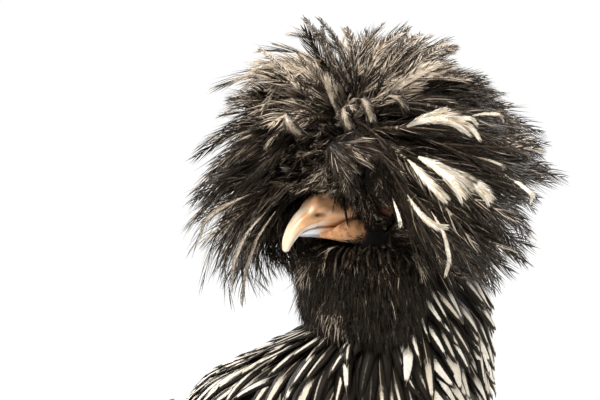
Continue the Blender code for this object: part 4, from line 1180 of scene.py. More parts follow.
def build_tail(skin, material):
    """The tail: two leaning fans of quills under two rows of coverts."""
    draw = np.random.default_rng(SEED + 6)
    coat = Coat()
    root = np.array((TAIL_ROOT[1], TAIL_ROOT[2]))
    for count, lengths, rises, wide, out in TAIL_TIERS:
        for side in (LEFT, RIGHT):
            slopes = spaced(*rises, count)
            angle = np.radians(slopes)
            roots = root + 0.006 * np.stack((np.cos(angle), np.sin(angle)), -1)
            add_quills(coat, tail_points, side, roots, slopes, spaced(*lengths, count), wide, out,
                       TAIL_TWIST, 0.80, skin, draw)
    return finish_coat(coat, "tail_quills", material,
                       2 * sum(row[0] for row in TAIL_TIERS), ("tail",))


def thigh_flow(places, normals):
    """Down each thigh to the hock, at raw places."""
    return np.broadcast_to(unit(HOCK - KNEE + (0, 0.006, -0.004)), places.shape)


def build_thigh_coat(skin, material):
    """Small soft feathers of the thighs."""
    draw = np.random.default_rng(SEED + 7)

    def wanted(raw, normals):
        x, y, z = raw.T
        beside = (normals @ unit(HOCK - KNEE) < 0.55) | (z > 0.104)
        return beside & on_thigh(x, y, z) & (z > THIGH_END)

    points, normals, uv = skin.scatter(lambda raw: np.full(len(raw), 0.0036), wanted, draw)
    count = len(points)
    low = smoothstep(0.125, 0.095, points[:, 2])
    length = (0.016 - 0.007 * low) * draw.uniform(0.85, 1.15, count)
    half = (0.0042 - 0.0018 * low) * draw.uniform(0.9, 1.1, count)
    steps = 8
    t = np.linspace(0, 1, steps + 1)
    depth = body_depth(points - SHIFT) * 0.7 * draw.uniform(0.7, 1.1, count)
    lift = -0.0002 + depth[:, None] * t[None] ** 0.75
    way = thigh_flow(points, normals)
    way = unit(way - normals * ((way * normals).sum(1, keepdims=True) - 0.02))
    ahead = way[:, None] * (length[:, None] * t)[..., None]
    path = points[:, None] + ahead + normals[:, None] * lift[..., None]
    outs = np.repeat(normals[:, None], steps + 1, 1)
    profile = feather_half(t[:-1], 0.3)
    tone = draw.uniform(0, 1, count)
    pale = np.clip(0.55 - 0.25 * low + draw.normal(0, 0.12, count), 0.1, 0.9)
    coat = Coat()
    feathers = Feathers(path, outs, half[:, None] * profile, tone, pale, uv)
    add_vanes(coat, feathers, draw, cup=0.25, thick=0.0003, fray=0.12)
    return finish_coat(coat, "thigh_feathers", material, count)


def head_flow(places, normals):
    """Back and down from the bill over the cheeks, at raw places."""
    return np.broadcast_to(unit(FORWARD * -1.0 + Z * -0.55), places.shape)


def build_face_coat(skin, material):
    """Short black plumes of the cheeks and brow, smallest by the bill."""
    draw = np.random.default_rng(SEED + 8)

    def wanted(raw, normals):
        rel = raw - SKULL
        f, l, u = rel @ FORWARD, rel @ SIDE, rel[:, 2]
        near = (np.linalg.norm(rel, axis=1) < 0.034) & (u > -0.016) & (u < 0.012) & (f < 0.0205)
        eye = np.hypot(f - EYE[0], u - EYE[2]) < 0.0062
        gape = (np.abs(u + 0.0055) < 0.0028) & (f > 0.0100) & (np.abs(l) > 0.004)
        return near & ~eye & ~gape

    def spacing(raw):
        rel = raw - SKULL
        away = smoothstep(0.021, 0.029, np.linalg.norm(rel, axis=1))
        return 0.00125 + 0.0006 * smoothstep(0.010, -0.010, rel @ FORWARD) + 0.0007 * away

    points, normals, uv = skin.scatter(spacing, wanted, draw)
    count = len(points)
    back = smoothstep(0.014, -0.012, (points - SHIFT - SKULL) @ FORWARD)
    length = (0.0055 + 0.014 * back) * draw.uniform(0.8, 1.2, count)
    steps = 6
    t = np.linspace(0, 1, steps + 1)
    lift = -0.0005 + ((0.0012 + 0.0042 * back) * draw.uniform(0.6, 1.2, count))[:, None] * t[None]
    path, outs = skin.march(points, normals, head_flow, length, steps, lift)
    half = (0.0011 + 0.0016 * back) * draw.uniform(0.8, 1.2, count)
    coat = Coat()
    pale = np.where(draw.uniform(0, 1, count) < 0.4, draw.uniform(0.10, 0.32, count), 0.0)
    feathers = Feathers(path, outs, half, draw.uniform(0, 0.8, count), pale, uv)
    add_plumes(coat, feathers, draw, 9, blade=SMALL_BLADE, loose=0.14)
    return finish_coat(coat, "face_plumes", material, count)


def clear_of(path, surfaces, room):
    """Paths pushed out of surfaces by at least a room; their first points stay."""
    flat = path[:, 1:].reshape(-1, 3).copy()
    for tree in surfaces:
        for i, place in enumerate(flat.tolist()):
            found, normal, _, distance = tree.find_nearest(place)
            if distance > 0.02:
                continue
            short = room - (Vector(place) - found).dot(normal)
            if 0 < short < 0.02:
                flat[i] += np.array(normal) * short
    return np.concatenate((path[:, :1], flat.reshape(len(path), -1, 3)), 1)


def node_tree(name):
    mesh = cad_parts[name].data
    return BVHTree.FromPolygons([v.co for v in mesh.vertices], [tuple(p.vertices) for p in mesh.polygons])


def bezier(start, control, end, stations):
    t = np.linspace(0, 1, stations)[None, :, None]
    return start[:, None] * (1 - t) ** 2 + control[:, None] * 2 * t * (1 - t) + end[:, None] * t ** 2


def head_curves(first, middle, last, stations):
    """Curves whose ends and bends are given forward, left and up of the skull's centre."""
    return bezier(head_points(first), head_points(middle), head_points(last), stations)


def crest_reach(way):
    """Distance from the knob's middle to the crest's outline along ways."""
    up = way[:, 2] > 0
    fuller = 1.7 + 0.35 * np.clip(3 * way[:, 0], -1, 1)
    tall, power = np.where(up, CREST_TALL, CREST_HANG), np.where(up, fuller, 3.0)
    flat = np.hypot(way[:, 0], way[:, 1]) / CREST_WIDE
    longer = 1.0 + 0.18 * np.maximum(0.0, -way[:, 1])
    return longer * (flat ** power + (np.abs(way[:, 2]) / tall) ** power) ** (-1 / power)


def crest_ways(count, draw):
    """Feather roots on the knob, as unit ways, leans from the pole and turns round it."""
    pole = np.array((math.cos(CREST_TILT), 0.0, math.sin(CREST_TILT)))
    ahead = np.array((math.sin(CREST_TILT), 0.0, -math.cos(CREST_TILT)))
    i = np.arange(count)
    lean = np.arccos(1 - (1 - math.cos(CREST_SPREAD)) * (i + 0.5) / count)
    around = (i * GOLDEN + draw.uniform(-0.15, 0.15, count) + math.pi) % (2 * math.pi) - math.pi
    out = ahead * np.cos(around)[:, None] + np.array((0, 1.0, 0)) * np.sin(around)[:, None]
    return pole * np.cos(lean)[:, None] + out * np.sin(lean)[:, None], lean, around


def crest_tips(n, lean, parting, near_side, far_side, draw):
    """Where the plumes' tips reach: in clumps all round, and short in the parting."""
    count = len(n)
    root = KNOB + KNOB_RADII * n
    way = n.copy()
    way[:, 0] += 0.30 * far_side - 0.75 * near_side
    droop = np.sin(lean) * draw.uniform(0.5, 1.3, count) * (1 + 1.9 * far_side - 0.3 * near_side)
    way[:, 2] -= CREST_DROOP * droop
    seeds = draw.choice(count, CREST_CLUMPS, replace=False)
    clump = np.argmax(n @ n[seeds].T + draw.normal(0, 0.01, (count, CREST_CLUMPS)), 1)
    way = unit(way + draw.normal(0, 0.13, (CREST_CLUMPS, 3))[clump] + draw.normal(0, 0.055, (count, 3)))
    reach = crest_reach(way) * np.minimum(draw.uniform(0.62, 1.06, count), draw.uniform(0.92, 1.03, count))
    reach = reach * draw.uniform(0.92, 1.05, CREST_CLUMPS)[clump]
    end = KNOB + way * reach[:, None]
    aside = unit(n + draw.normal(0, 0.45, (count, 3)) + (0, 0, -0.35))
    short = root + aside * draw.uniform(0.008, 0.020, (count, 1))
    short[:, 2] = np.maximum(short[:, 2], PARTING_LOW)
    return np.where(parting[:, None], short, end)


def crest_paths(n, end, far_side, draw):
    """Plumes that rise from the knob, arch over to their tips, bend aside and sag."""
    count = len(n)
    root = KNOB + KNOB_RADII * n
    start = KNOB + (root - KNOB) * 0.86
    size = np.linalg.norm(end - root, axis=1, keepdims=True)
    control = root + n * size * draw.uniform(0.34, 0.50, (count, 1))
    path = head_curves(start, control, end, CREST_STATIONS)
    bend = head_ways(unit(np.cross(end - root, n))) * (size[:, :1] * draw.normal(0, 0.13, (count, 1)))
    t = np.linspace(0, 1, CREST_STATIONS)[None, :, None]
    path = path + bend[:, None] * (1.6 * t ** 2 - t)
    sag = t ** 3 * size[:, None] * draw.uniform(0.0, 0.10, (count, 1, 1))
    return path - Z * (sag * (1 + 1.5 * far_side[:, None, None]))


def crest_paleness(path, parting, draw):
    """How pale each plume is, by where it shows in the photo; a few are pale by chance."""
    count = len(path)
    # Painted highlight: plumes in the crest's lit patches are made paler.
    pale = draw.uniform(0, 0.10, count) + highlight_share(path[:, 6]) * draw.uniform(0.3, 1.2, count)
    pale = np.where(draw.uniform(0, 1, count) < 0.012, draw.uniform(0.4, 0.7, count), pale)
    return np.where(parting, draw.uniform(0, 0.3, count), pale)


def build_crest(skin, material, trees):
    """The crest: plumes that stand on the knob and hang all round, parted over the bill."""
    draw = np.random.default_rng(SEED + 2)
    n, lean, around = crest_ways(CREST_COUNT, draw)
    parting = (around > PARTING[0]) & (around < PARTING[1]) & (lean > 0.5)
    keep = ~(parting & (lean > PARTING_LEAN))
    n, lean, around, parting = n[keep], lean[keep], around[keep], parting[keep]
    count = len(n)
    near_side = np.maximum(0.0, np.sin(around - 0.2))
    far_side = np.maximum(0.0, -np.sin(around + 0.1))
    end = crest_tips(n, lean, parting, near_side, far_side, draw)
    path = clear_of(fit_outline(crest_paths(n, end, far_side, draw)), trees, 0.0012)
    outs = unit(path - head_points(KNOB) + draw.normal(0, 0.012, (count, 1, 3)))
    half = CREST_HALF * draw.uniform(0.65, 1.25, count) * np.where(parting, 0.38, 1.0)
    tone = draw.uniform(0, 1, count)
    pale = crest_paleness(path, parting, draw)
    _, _, uv = skin.nearest(path[:, 1])
    feathers = Feathers(path, outs, half, tone, pale, uv)
    made = []
    share = np.arange(count) % CREST_PIECES
    for k in range(CREST_PIECES):
        pick = share == k
        coat = Coat()
        add_plumes(coat, pick_feathers(feathers, pick), draw, CREST_BARBS, sag=0.05,
                   angles=(33.0, 13.0), loose=0.10, core=0.22)
        made.append(finish_coat(coat, f"crest_plumes_{k + 1}", material,
                                int(pick.sum()), ("crest",)))
    return made


def photo_points(pixels):
    """Points of the crest's outer shape that show at pixels (N, 2) of the photo."""
    back, right, up = camera_axes()
    across = (pixels[:, :1] - PHOTO_SIZE[0] / 2) / PIXELS_PER_METRE
    rise = (PHOTO_SIZE[1] / 2 - pixels[:, 1:]) / PIXELS_PER_METRE
    ray = unit(right * across + up * rise - back * VIEW_DISTANCE)
    far = np.linspace(VIEW_DISTANCE - 0.10, VIEW_DISTANCE + 0.04, 220)
    places = camera_place() + ray[:, None] * far[None, :, None]
    away = places - head_points(KNOB)
    away = np.stack((away @ FORWARD, away @ SIDE, away[..., 2]), -1)
    size = np.linalg.norm(away, axis=-1)
    share = size / crest_reach(unit(away).reshape(-1, 3)).reshape(size.shape)
    inside = share < 0.96
    first = np.where(inside.any(1), inside.argmax(1), share.argmin(1))
    return places[np.arange(len(pixels)), first]


def photo_pixels(places):
    """Where places (N, 3) show in the photo, and the pixels of a metre there."""
    back, right, up = camera_axes()
    rel = places - camera_place()
    scale = PIXELS_PER_METRE * VIEW_DISTANCE / -(rel @ back)
    return PHOTO_SIZE[0] / 2 + rel @ right * scale, PHOTO_SIZE[1] / 2 - rel @ up * scale, scale


def fit_outline(path):
    """Paths (N, S, 3) of the crest drawn in or out, seen from the camera, to the photo's outline."""
    _, right, up = camera_axes()
    across, down, scale = photo_pixels(path.reshape(-1, 3))
    across, rise = across - CREST_MIDDLE[0], CREST_MIDDLE[1] - down
    swell = np.interp(np.degrees(np.arctan2(rise, across)), *zip(*CREST_SWELL), period=360)
    shift = (swell - 1) * smoothstep(*OUTLINE_RADII, np.hypot(across, rise)) / scale
    flat = right * (across * shift)[:, None] + up * (rise * shift)[:, None]
    return path + flat.reshape(path.shape)


def highlight_share(places):
    """Share of bright strands where places (N, 3) show in the photo."""
    across, down, _ = photo_pixels(places)
    share = np.zeros(len(places))
    for x, y, radius, amount in HIGHLIGHT_PATCHES:
        share = np.maximum(share, amount * smoothstep(1.0, 0.3, np.hypot(across - x, down - y) / radius))
    return share


def build_white_and_highlit_plumes(skin, material):
    """The white and cream feathers that lie over the dark crest."""
    draw = np.random.default_rng(SEED + 12)
    rows = np.array(WHITE_AND_HIGHLIT_PLUMES, float)
    shares = np.linspace(0, 1, WHITE_STATIONS)
    pixels = bezier(rows[:, 0:2], rows[:, 2:4], rows[:, 4:6], WHITE_STATIONS)
    path = photo_points(pixels.reshape(-1, 2)).reshape(len(rows), WHITE_STATIONS, 3)
    smooth = path.copy()
    smooth[:, 1:-1] = (path[:, :-2] + path[:, 1:-1] * 2 + path[:, 2:]) / 4
    outs = unit(smooth - head_points(KNOB))
    sink = np.interp(shares, *WHITE_SINK)
    path = smooth + outs * sink[None, :, None]
    _, _, uv = skin.nearest(path[:, 0])
    half, whole, pale = rows[:, 6], rows[:, 7], rows[:, 8]
    tone = draw.uniform(0, 1, len(rows))
    coat = Coat()
    width = WHITE_VANE * half[:, None] * np.interp(shares[:-1], *zip(*PLUME_SHAPE)) * whole[:, None]
    width = width * (1 - 0.45 * shares[:-1] ** 2)
    add_vanes(coat, Feathers(path, outs, width, tone, pale, uv), draw, cup=0.05, thick=0.0003,
              fray=0.30)
    fringe = Feathers(path + outs * 0.0002, outs, half * 1.25, tone, pale, uv)
    add_barbs(coat, fringe, draw, WHITE_BARBS, first=0.05, angles=(26.0, 11.0), loose=0.12,
              blade=0.00015, inner=0.15, rolls=0.12)
    return finish_coat(coat, "crest_white_and_highlit_plumes", material, len(rows))


def beard_points(share, angle, out):
    """Points on the beard: share down it, angle from its front, out 1 at its outline."""
    rows = smooth_rows(BEARD, 41)
    f, u, half, front, back = rows[np.clip(np.round(40 * share), 0, 40).astype(int)].T
    reach = np.where(np.cos(angle) > 0, front, back)
    places = np.stack((f + reach * np.cos(angle) * out, half * np.sin(angle) * out, u), -1)
    return head_points(places)


def build_beard(skin, material, trees):
    """Beard and muffs: black plumes that fall over one another."""
    draw = np.random.default_rng(SEED + 3)
    i = np.arange(BEARD_COUNT)
    share = -0.06 + 0.80 * (i + 0.5) / BEARD_COUNT
    angle = ((i * GOLDEN) % (2 * math.pi) - math.pi) / math.pi * math.radians(128)
    length = draw.uniform(0.32, 0.66, BEARD_COUNT)
    path, outs = [], []
    for t, out in zip(np.linspace(0, 1, 7), (0.52, 0.74, 0.86, 0.93, 0.97, 1.0, 1.02)):
        down = share + length * t
        wander = angle * (1 + 0.05 * t) + draw.normal(0, 0.02, BEARD_COUNT)
        jitter = out * draw.uniform(0.96, 1.05, BEARD_COUNT)
        place = beard_points(np.clip(down, 0, 1), wander, jitter)
        place = place - Z * (0.030 * np.maximum(0.0, down - 1.0) - 0.030 * np.minimum(0.0, down))[:, None]
        path.append(place)
        outs.append(place - beard_points(np.clip(down, 0, 1), wander, 0 * wander))
    path, outs = np.stack(path, 1), unit(np.stack(outs, 1))
    path = clear_of(path, trees, 0.0006)
    half = BEARD_HALF * draw.uniform(0.8, 1.25, BEARD_COUNT)
    _, _, uv = skin.nearest(path[:, 0])
    pale = np.where(draw.uniform(0, 1, BEARD_COUNT) < 0.04, 0.35, 0.0)
    coat = Coat()
    feathers = Feathers(path, outs, half, draw.uniform(0, 0.7, BEARD_COUNT), pale, uv)
    add_plumes(coat, feathers, draw, BEARD_BARBS, blade=0.0002, loose=0.14)
    return finish_coat(coat, "beard_plumes", material, BEARD_COUNT, ("beard",))


def loft_grid(rows, sides, rings):
    """A tube of rings through rows of forward, up, half width, reach up and reach down."""
    rows = smooth_rows(rows, rings)
    centre = np.stack((rows[:, 0], np.zeros(rings), rows[:, 1]), 1)
    ahead = unit(np.gradient(centre, axis=0))
    up = np.stack((-ahead[:, 2], np.zeros(rings), ahead[:, 0]), 1)
    angle = 2 * math.pi * np.arange(sides) / sides
    reach = np.where(np.sin(angle)[None] > 0, rows[:, 3:4], rows[:, 4:5])
    left = np.zeros((rings, sides, 3))
    left[..., 1] = rows[:, 2:3] * np.cos(angle)[None]
    return centre[:, None] + left + up[:, None] * (reach * np.sin(angle)[None])[..., None], angle


def ring_faces(rings, sides, closed=False):
    """Faces between the rings of a tube; in a closed one the last ring meets the first."""
    faces = []
    for i in range(rings if closed else rings - 1):
        here, after = i * sides, (i + 1) % rings * sides
        for k in range(sides):
            m = (k + 1) % sides
            faces.append((here + k, here + m, after + m, after + k))
    return faces


def ring_values(values, sides):
    """A value for each ring of a tube, the same all round it."""
    return np.repeat(values[:, None], sides, 1)


def turn_values(values, rings):
    """A value for each place round a tube, the same in all its rings."""
    return np.repeat(values[None], rings, 0)


def grid_piece(name, grid, tips, across, along, pale, material):
    """A closed tube from rings (R, S, 3) with a point at each end."""
    rings, sides, _ = grid.shape
    coat = Coat()
    points = np.concatenate((grid.reshape(-1, 3), np.array(tips)))[None]
    faces = ring_faces(rings, sides)
    first, last, top = rings * sides, rings * sides + 1, (rings - 1) * sides
    for k in range(sides):
        m = (k + 1) % sides
        faces += [(first, m, k), (last, top + k, top + m)]
    ends = [np.append(v.ravel(), (v[0].mean(), v[-1].mean())) for v in (across, along, pale)]
    coat.add(points, faces, ends[0][None], ends[1][None], 0.5, 0.0, np.full((1, 2), 0.5))
    piece = coat.build(name, material)
    mesh = piece.data
    shape = bmesh.new()
    shape.from_mesh(mesh)
    bmesh.ops.recalc_face_normals(shape, faces=shape.faces)
    shape.to_mesh(mesh)
    shape.free()
    mesh.attributes["pale"].data.foreach_set("value", ends[2].astype(np.float32))
    unwrap(piece)
    return piece


def build_bill(material):
    """Upper and lower bill with culmen, nostrils and the line of the mouth."""
    grid, angle = loft_grid(BILL_UPPER, 44, 56)
    rings, sides, _ = grid.shape
    along, down = ring_values(np.linspace(0, 1, rings), sides), turn_values(-np.sin(angle), rings)
    pit = np.zeros(along.shape)
    for side in (LEFT, RIGHT):
        f, u = NOSTRIL
        away = np.hypot((grid[..., 0] - f) / 0.0020, (grid[..., 2] - u) / 0.0008)
        pit = np.maximum(pit, np.where(grid[..., 1] * side > 0, smoothstep(1.15, 0.55, away), 0))
    ledge = np.exp(-((down - 0.52) / 0.10) ** 2) * smoothstep(0.0, 0.3, along)
    centre = grid.mean(1, keepdims=True)
    inward = unit(centre - grid)
    grid = grid + inward * (pit * 0.0014 + ledge * 0.00035)[..., None]
    tips = head_points((grid[0].mean(0) - (0.004, 0, 0), grid[-1].mean(0) + (0.0001, 0, -0.0006)))
    # The pit's share, passed as pale, darkens the nostril pit as painted shade.
    upper = grid_piece("bill_upper", head_points(grid), tips, down, along, pit * 0.75, material)
    finish_piece(upper, ("beak_upper",))
    grid, angle = loft_grid(BILL_LOWER, 36, 36)
    rings, sides, _ = grid.shape
    along, down = ring_values(np.linspace(0, 1, rings), sides), turn_values(-np.sin(angle), rings)
    tips = head_points((grid[0].mean(0) - (0.004, 0, 0), grid[-1].mean(0) + (0.0012, 0, 0.0004)))
    lower = grid_piece("bill_lower", head_points(grid), tips, down, along, 0 * along, lower_bill_material())
    finish_piece(lower, ("beak_lower",))


def tube_grid(centres, hint, wide, high, sides):
    """Rings (R, S, 3) round centres (R, 3): wide beside the hint's way and high along it."""
    ahead = unit(np.gradient(centres, axis=0))
    side = unit(np.cross(ahead, hint))
    up = np.cross(side, ahead)
    angle = 2 * math.pi * np.arange(sides) / sides
    wide, high = np.reshape(wide, (-1, 1, 1)), np.reshape(high, (-1, 1, 1))
    ring = side[:, None] * (wide * np.cos(angle)[None, :, None])
    return centres[:, None] + ring + up[:, None] * (high * np.sin(angle)[None, :, None]), angle


def tube_piece(name, centres, hint, wide, high, sides, material, cap=0.0):
    """A closed tube whose values along run from 0 to 1."""
    grid, angle = tube_grid(centres, hint, wide, high, sides)
    rings = len(centres)
    along, across = ring_values(np.linspace(0, 1, rings), sides), turn_values(np.sin(angle), rings)
    ends = (centres[0] - unit(centres[1] - centres[0]) * cap,
            centres[-1] + unit(centres[-1] - centres[-2]) * cap)
    return grid_piece(name, grid, ends, across, along, 0 * along, material)


def build_gape(material):
    """Wrinkled orange-red corners of the mouth."""
    rings, sides = 60, 44
    for side in (LEFT, RIGHT):
        rows = smooth_rows(GAPE, rings)
        centres = head_points(rows[:, :3] * (1, side, 1))
        grid, angle = tube_grid(centres, Z, rows[:, 3], rows[:, 4], sides)
        outward = np.cos(angle) if side == RIGHT else -np.cos(angle)
        groove = np.exp(-((np.sin(angle) - 0.10) / 0.16) ** 2) * (outward > 0)
        ring = np.arange(rings)[:, None]
        wander = 0.5 * np.sin(ring * 0.31) + 0.3 * np.sin(ring * 0.77)
        folds = np.sin(9.0 * np.sin(angle)[None] + wander) * (outward > -0.2)
        wrinkle = 0.15 * folds + 0.02 * np.sin(ring * 1.9 + 4.0 * np.sin(angle)[None])
        scale = 1 + wrinkle - 0.45 * groove[None] * np.sin(np.linspace(0.4, math.pi, rings))[:, None]
        centre = centres[:, None]
        grid = centre + (grid - centre) * scale[..., None]
        along = ring_values(np.linspace(0, 1, rings), sides)
        # The crease share marks the sunken folds and the groove, which the material darkens as painted
        # shade.
        crease = np.maximum(groove[None], smoothstep(0.0, -0.9, folds) * 0.85)
        piece = grid_piece(f"gape_{side_label(side)}", grid, (centres[0], centres[-1]), crease, along,
                           0 * along, material)
        finish_piece(piece)


def ellipsoid_grid(centre, axes, radii, rings, sides):
    """Rings of an ellipsoid from its pole along the first axis."""
    lean = math.pi * (np.arange(rings) + 0.7) / (rings + 0.4)
    turn = 2 * math.pi * np.arange(sides) / sides
    first, second, third = [np.array(a) * r for a, r in zip(axes, radii)]
    grid = first * np.cos(lean)[:, None, None] + (
        second * np.cos(turn)[None, :, None] + third * np.sin(turn)[None, :, None]) * np.sin(
        lean)[:, None, None]
    return centre + grid, lean, turn


def build_eyes(glass, face):
    """Round eyes with a pupil, in folded lids."""
    for side in (LEFT, RIGHT):
        label = side_label(side)
        f, l, u = EYE
        centre = head_points((f, l * side, u))
        look = unit(SIDE * side + FORWARD * 0.12)
        axes = (look, unit(np.cross(Z, look)), Z)
        grid, lean, turn = ellipsoid_grid(centre, axes, (EYE_RADIUS,) * 3, 30, 40)
        along = ring_values(lean / (math.pi / 2), len(turn))
        ends = (centre + look * EYE_RADIUS, centre - look * EYE_RADIUS)
        piece = grid_piece(f"eyeball_{label}", grid, ends, 0 * along, along, 0 * along, glass)
        finish_piece(piece, (f"eye_{label}",))
        build_lids(label, centre + look * LID_OUT, look, axes[1], face)


def build_lids(label, middle, look, level, material):
    """Folded lids: three closed rolls round the eye, each wider and thinner than the last."""
    turn = 2 * math.pi * np.arange(LID_STEPS) / LID_STEPS
    roll = 2 * math.pi * np.arange(LID_SIDES) / LID_SIDES
    reach = 0.0051 + 0.0002 * np.sin(turn * 9)
    faces = [(a, d, c, b) for a, b, c, d in ring_faces(LID_STEPS, LID_SIDES, closed=True)]
    coat = Coat()
    for size, thick in LID_ROLLS:
        rise = Z * (np.sin(turn) * reach * size * 0.88)[:, None]
        out = level * (np.cos(turn) * reach * size)[:, None] + rise
        bulge = unit(out)[:, None] * np.cos(roll)[None, :, None] + look * np.sin(roll)[None, :, None]
        tube = middle + out[:, None] - look * (size - 1.0) * 0.0045 + bulge * thick
        coat.add(tube.reshape(1, -1, 3), faces, 0.6, 0.9, 0.5, 0.0, np.full((1, 2), 0.5))
    lids = coat.build(f"eyelids_{label}", material)
    unwrap(lids)
    finish_piece(lids)


def build_ears(material):
    """Pale ear lobes with the shallow cup of the ear."""
    for side in (LEFT, RIGHT):
        label = side_label(side)
        f, l, u = EAR
        centre = head_points((f, l * side, u))
        axes = (SIDE * side, FORWARD, Z)
        radii = (EAR_RADII[1], EAR_RADII[0], EAR_RADII[2])
        grid, lean, turn = ellipsoid_grid(centre, axes, radii, 24, 36)
        cup = np.exp(-(lean[:, None] / 0.55) ** 2) * (1 + 0.4 * np.sin(turn)[None])
        fold = 0.04 * np.sin(turn * 7)[None] * np.sin(lean)[:, None]
        grid = centre + (grid - centre) * (1 + fold - 0.55 * cup)[..., None]
        along = ring_values(lean / math.pi, len(turn))
        piece = grid_piece(f"ear_lobe_{label}", grid, (grid[0].mean(0), grid[-1].mean(0)), 0 * along,
                           along, 0 * along, material)
        finish_piece(piece, (f"ear_{label}",))


def build_comb(material):
    """Small V-shaped comb with a pebbled skin."""
    rings = 60
    rows = smooth_rows(COMB, rings)
    places = np.stack((np.full(rings, COMB_FORWARD), rows[:, 0], rows[:, 1]), 1)
    ring = np.arange(rings)
    thick = rows[:, 2] * (1 + 0.10 * np.sin(ring * 0.9) + 0.05 * np.sin(ring * 2.1))
    piece = tube_piece("comb_horns", head_points(places), FORWARD, thick, thick, 20, material, 0.0008)
    finish_piece(piece, ("comb",))


def add_brow_plumes(coat, skin, draw):
    """Short dark plumes that hang from the brow over the root of the bill."""
    count = BROW_COUNT
    left = draw.uniform(-0.011, 0.011, count)
    ahead = 0.0195 - 0.30 * np.abs(left) + draw.uniform(-0.002, 0.003, count)
    high = 0.0125 - 0.25 * np.abs(left) + draw.uniform(-0.001, 0.002, count)
    drop = 0.0055 + 0.50 * np.abs(left) + draw.uniform(0.0, 0.0035, count)
    out = left * draw.uniform(1.1, 1.35, count)
    first = np.stack((ahead, left, high), 1)
    middle = np.stack((ahead + draw.uniform(0.001, 0.004, count), out, high - drop * 0.15), 1)
    last = np.stack((ahead + draw.uniform(-0.002, 0.004, count), out * 1.12, high - drop), 1)
    path = head_curves(first, middle, last, 6)
    outs = unit(path - head_points((0.008, 0.0, -0.004)))
    _, _, uv = skin.nearest(path[:, 0])
    feathers = Feathers(path, outs, np.full(count, 0.0013), draw.uniform(0, 0.7, count),
                        draw.uniform(0, 0.2, count), uv)
    add_plumes(coat, feathers, draw, 10, blade=SMALL_BLADE)


def add_gape_plumes(coat, skin, draw):
    """Fine dark plumes that grow through the corners of the mouth and lie back over them."""
    count = GAPE_COUNT
    side = np.where(draw.uniform(0, 1, count) < 0.5, LEFT, RIGHT)
    ahead = 0.0105 + 0.0125 * draw.uniform(0, 1, count) ** 1.4
    rows = np.array(GAPE)[::-1]
    left, high, out, tall = [np.interp(ahead, rows[:, 0], rows[:, k]) for k in (1, 2, 3, 4)]
    turn = draw.uniform(-1.6, 1.0, count)
    left = left + out * np.cos(turn) * 0.9
    high = high + tall * np.sin(turn) * 0.95
    reach = draw.uniform(0.0030, 0.0062, count)
    fall = reach * draw.uniform(0.05, 0.55, count)
    first = np.stack((ahead, left * side, high), 1)
    middle = np.stack((ahead - reach * 0.5, (left + 0.0012) * side, high - fall * 0.3), 1)
    last = np.stack((ahead - reach, (left + 0.0016) * side, high - fall), 1)
    path = head_curves(first, middle, last, 6)
    outs = unit(SIDE * side[:, None] + Z * 0.2)[:, None] + 0 * path
    _, _, uv = skin.nearest(path[:, 0])
    half = draw.uniform(0.00008, 0.00034, count)[:, None] * np.linspace(1.0, 0.5, 5)
    feathers = Feathers(path, outs, half, draw.uniform(0.3, 1.0, count), draw.uniform(0, 0.2, count), uv)
    add_strips(coat, feathers, thick=0.0001, across_value=0.5, along_value=np.linspace(0, 1, 6))


def add_cheek_plumes(coat, skin, draw):
    """Loose plumes that sweep back from the corners of the mouth over the cheeks."""
    count = CHEEK_COUNT
    side = np.where(draw.uniform(0, 1, count) < 0.5, LEFT, RIGHT)
    ahead, high = draw.uniform(0.002, 0.0175, count), draw.uniform(-0.0110, -0.0010, count)
    rows = np.stack((ahead, 0.0125 * side, high), 1)
    place, normal, uv = skin.nearest(head_points(rows))
    back = unit(FORWARD * -1.0 + Z * draw.uniform(-0.75, 0.05, count)[:, None])
    reach = draw.uniform(0.010, 0.018, count)[:, None]
    rise = draw.uniform(0.0016, 0.0042, count)[:, None]
    path = bezier(place - normal * 0.0006, place + normal * rise + back * reach * 0.4,
                  place + normal * rise * 1.2 + back * reach, 7)
    outs = normal[:, None] + 0 * path
    feathers = Feathers(path, outs, draw.uniform(0.0010, 0.0019, count), draw.uniform(0, 0.8, count),
                        draw.uniform(0.0, 0.42, count), uv)
    add_plumes(coat, feathers, draw, 10, blade=SMALL_BLADE, loose=0.14)


def bristle_rows(draw):
    """Root, bend, tip and half thickness of the bristles over the bill and the wisps under it."""
    rows = []
    for _ in range(BRISTLE_COUNT):
        l = draw.uniform(-0.010, 0.010)
        f = 0.0235 - 0.35 * abs(l) + draw.uniform(-0.003, 0.002)
        u = 0.0105 - 0.30 * abs(l) + draw.uniform(-0.001, 0.003)
        down = draw.uniform(0.003, 0.0085)
        rows.append(((f, l, u), (f + draw.uniform(0.0, 0.003), l * 1.15, u - down * 0.3),
                     (f + draw.uniform(-0.002, 0.004), l * 1.2, u - down), draw.uniform(0.00014, 0.00040)))
    rows.append(((0.0225, 0.0078, 0.0060), (0.0228, 0.0092, 0.0015), (0.0218, 0.0096, -0.0040), 0.00055))
    for _ in range(WISP_COUNT):
        l = draw.uniform(-0.004, 0.008)
        start = (0.020 + draw.uniform(0, 0.004), l, -0.0115)
        rows.append((start, (0.029, l * 1.1, -0.0115 - draw.uniform(0.000, 0.003)),
                     (0.033 + draw.uniform(0, 0.006), l * 1.2, -0.0145 - draw.uniform(0, 0.005)),
                     draw.uniform(0.00008, 0.00014)))
    return rows


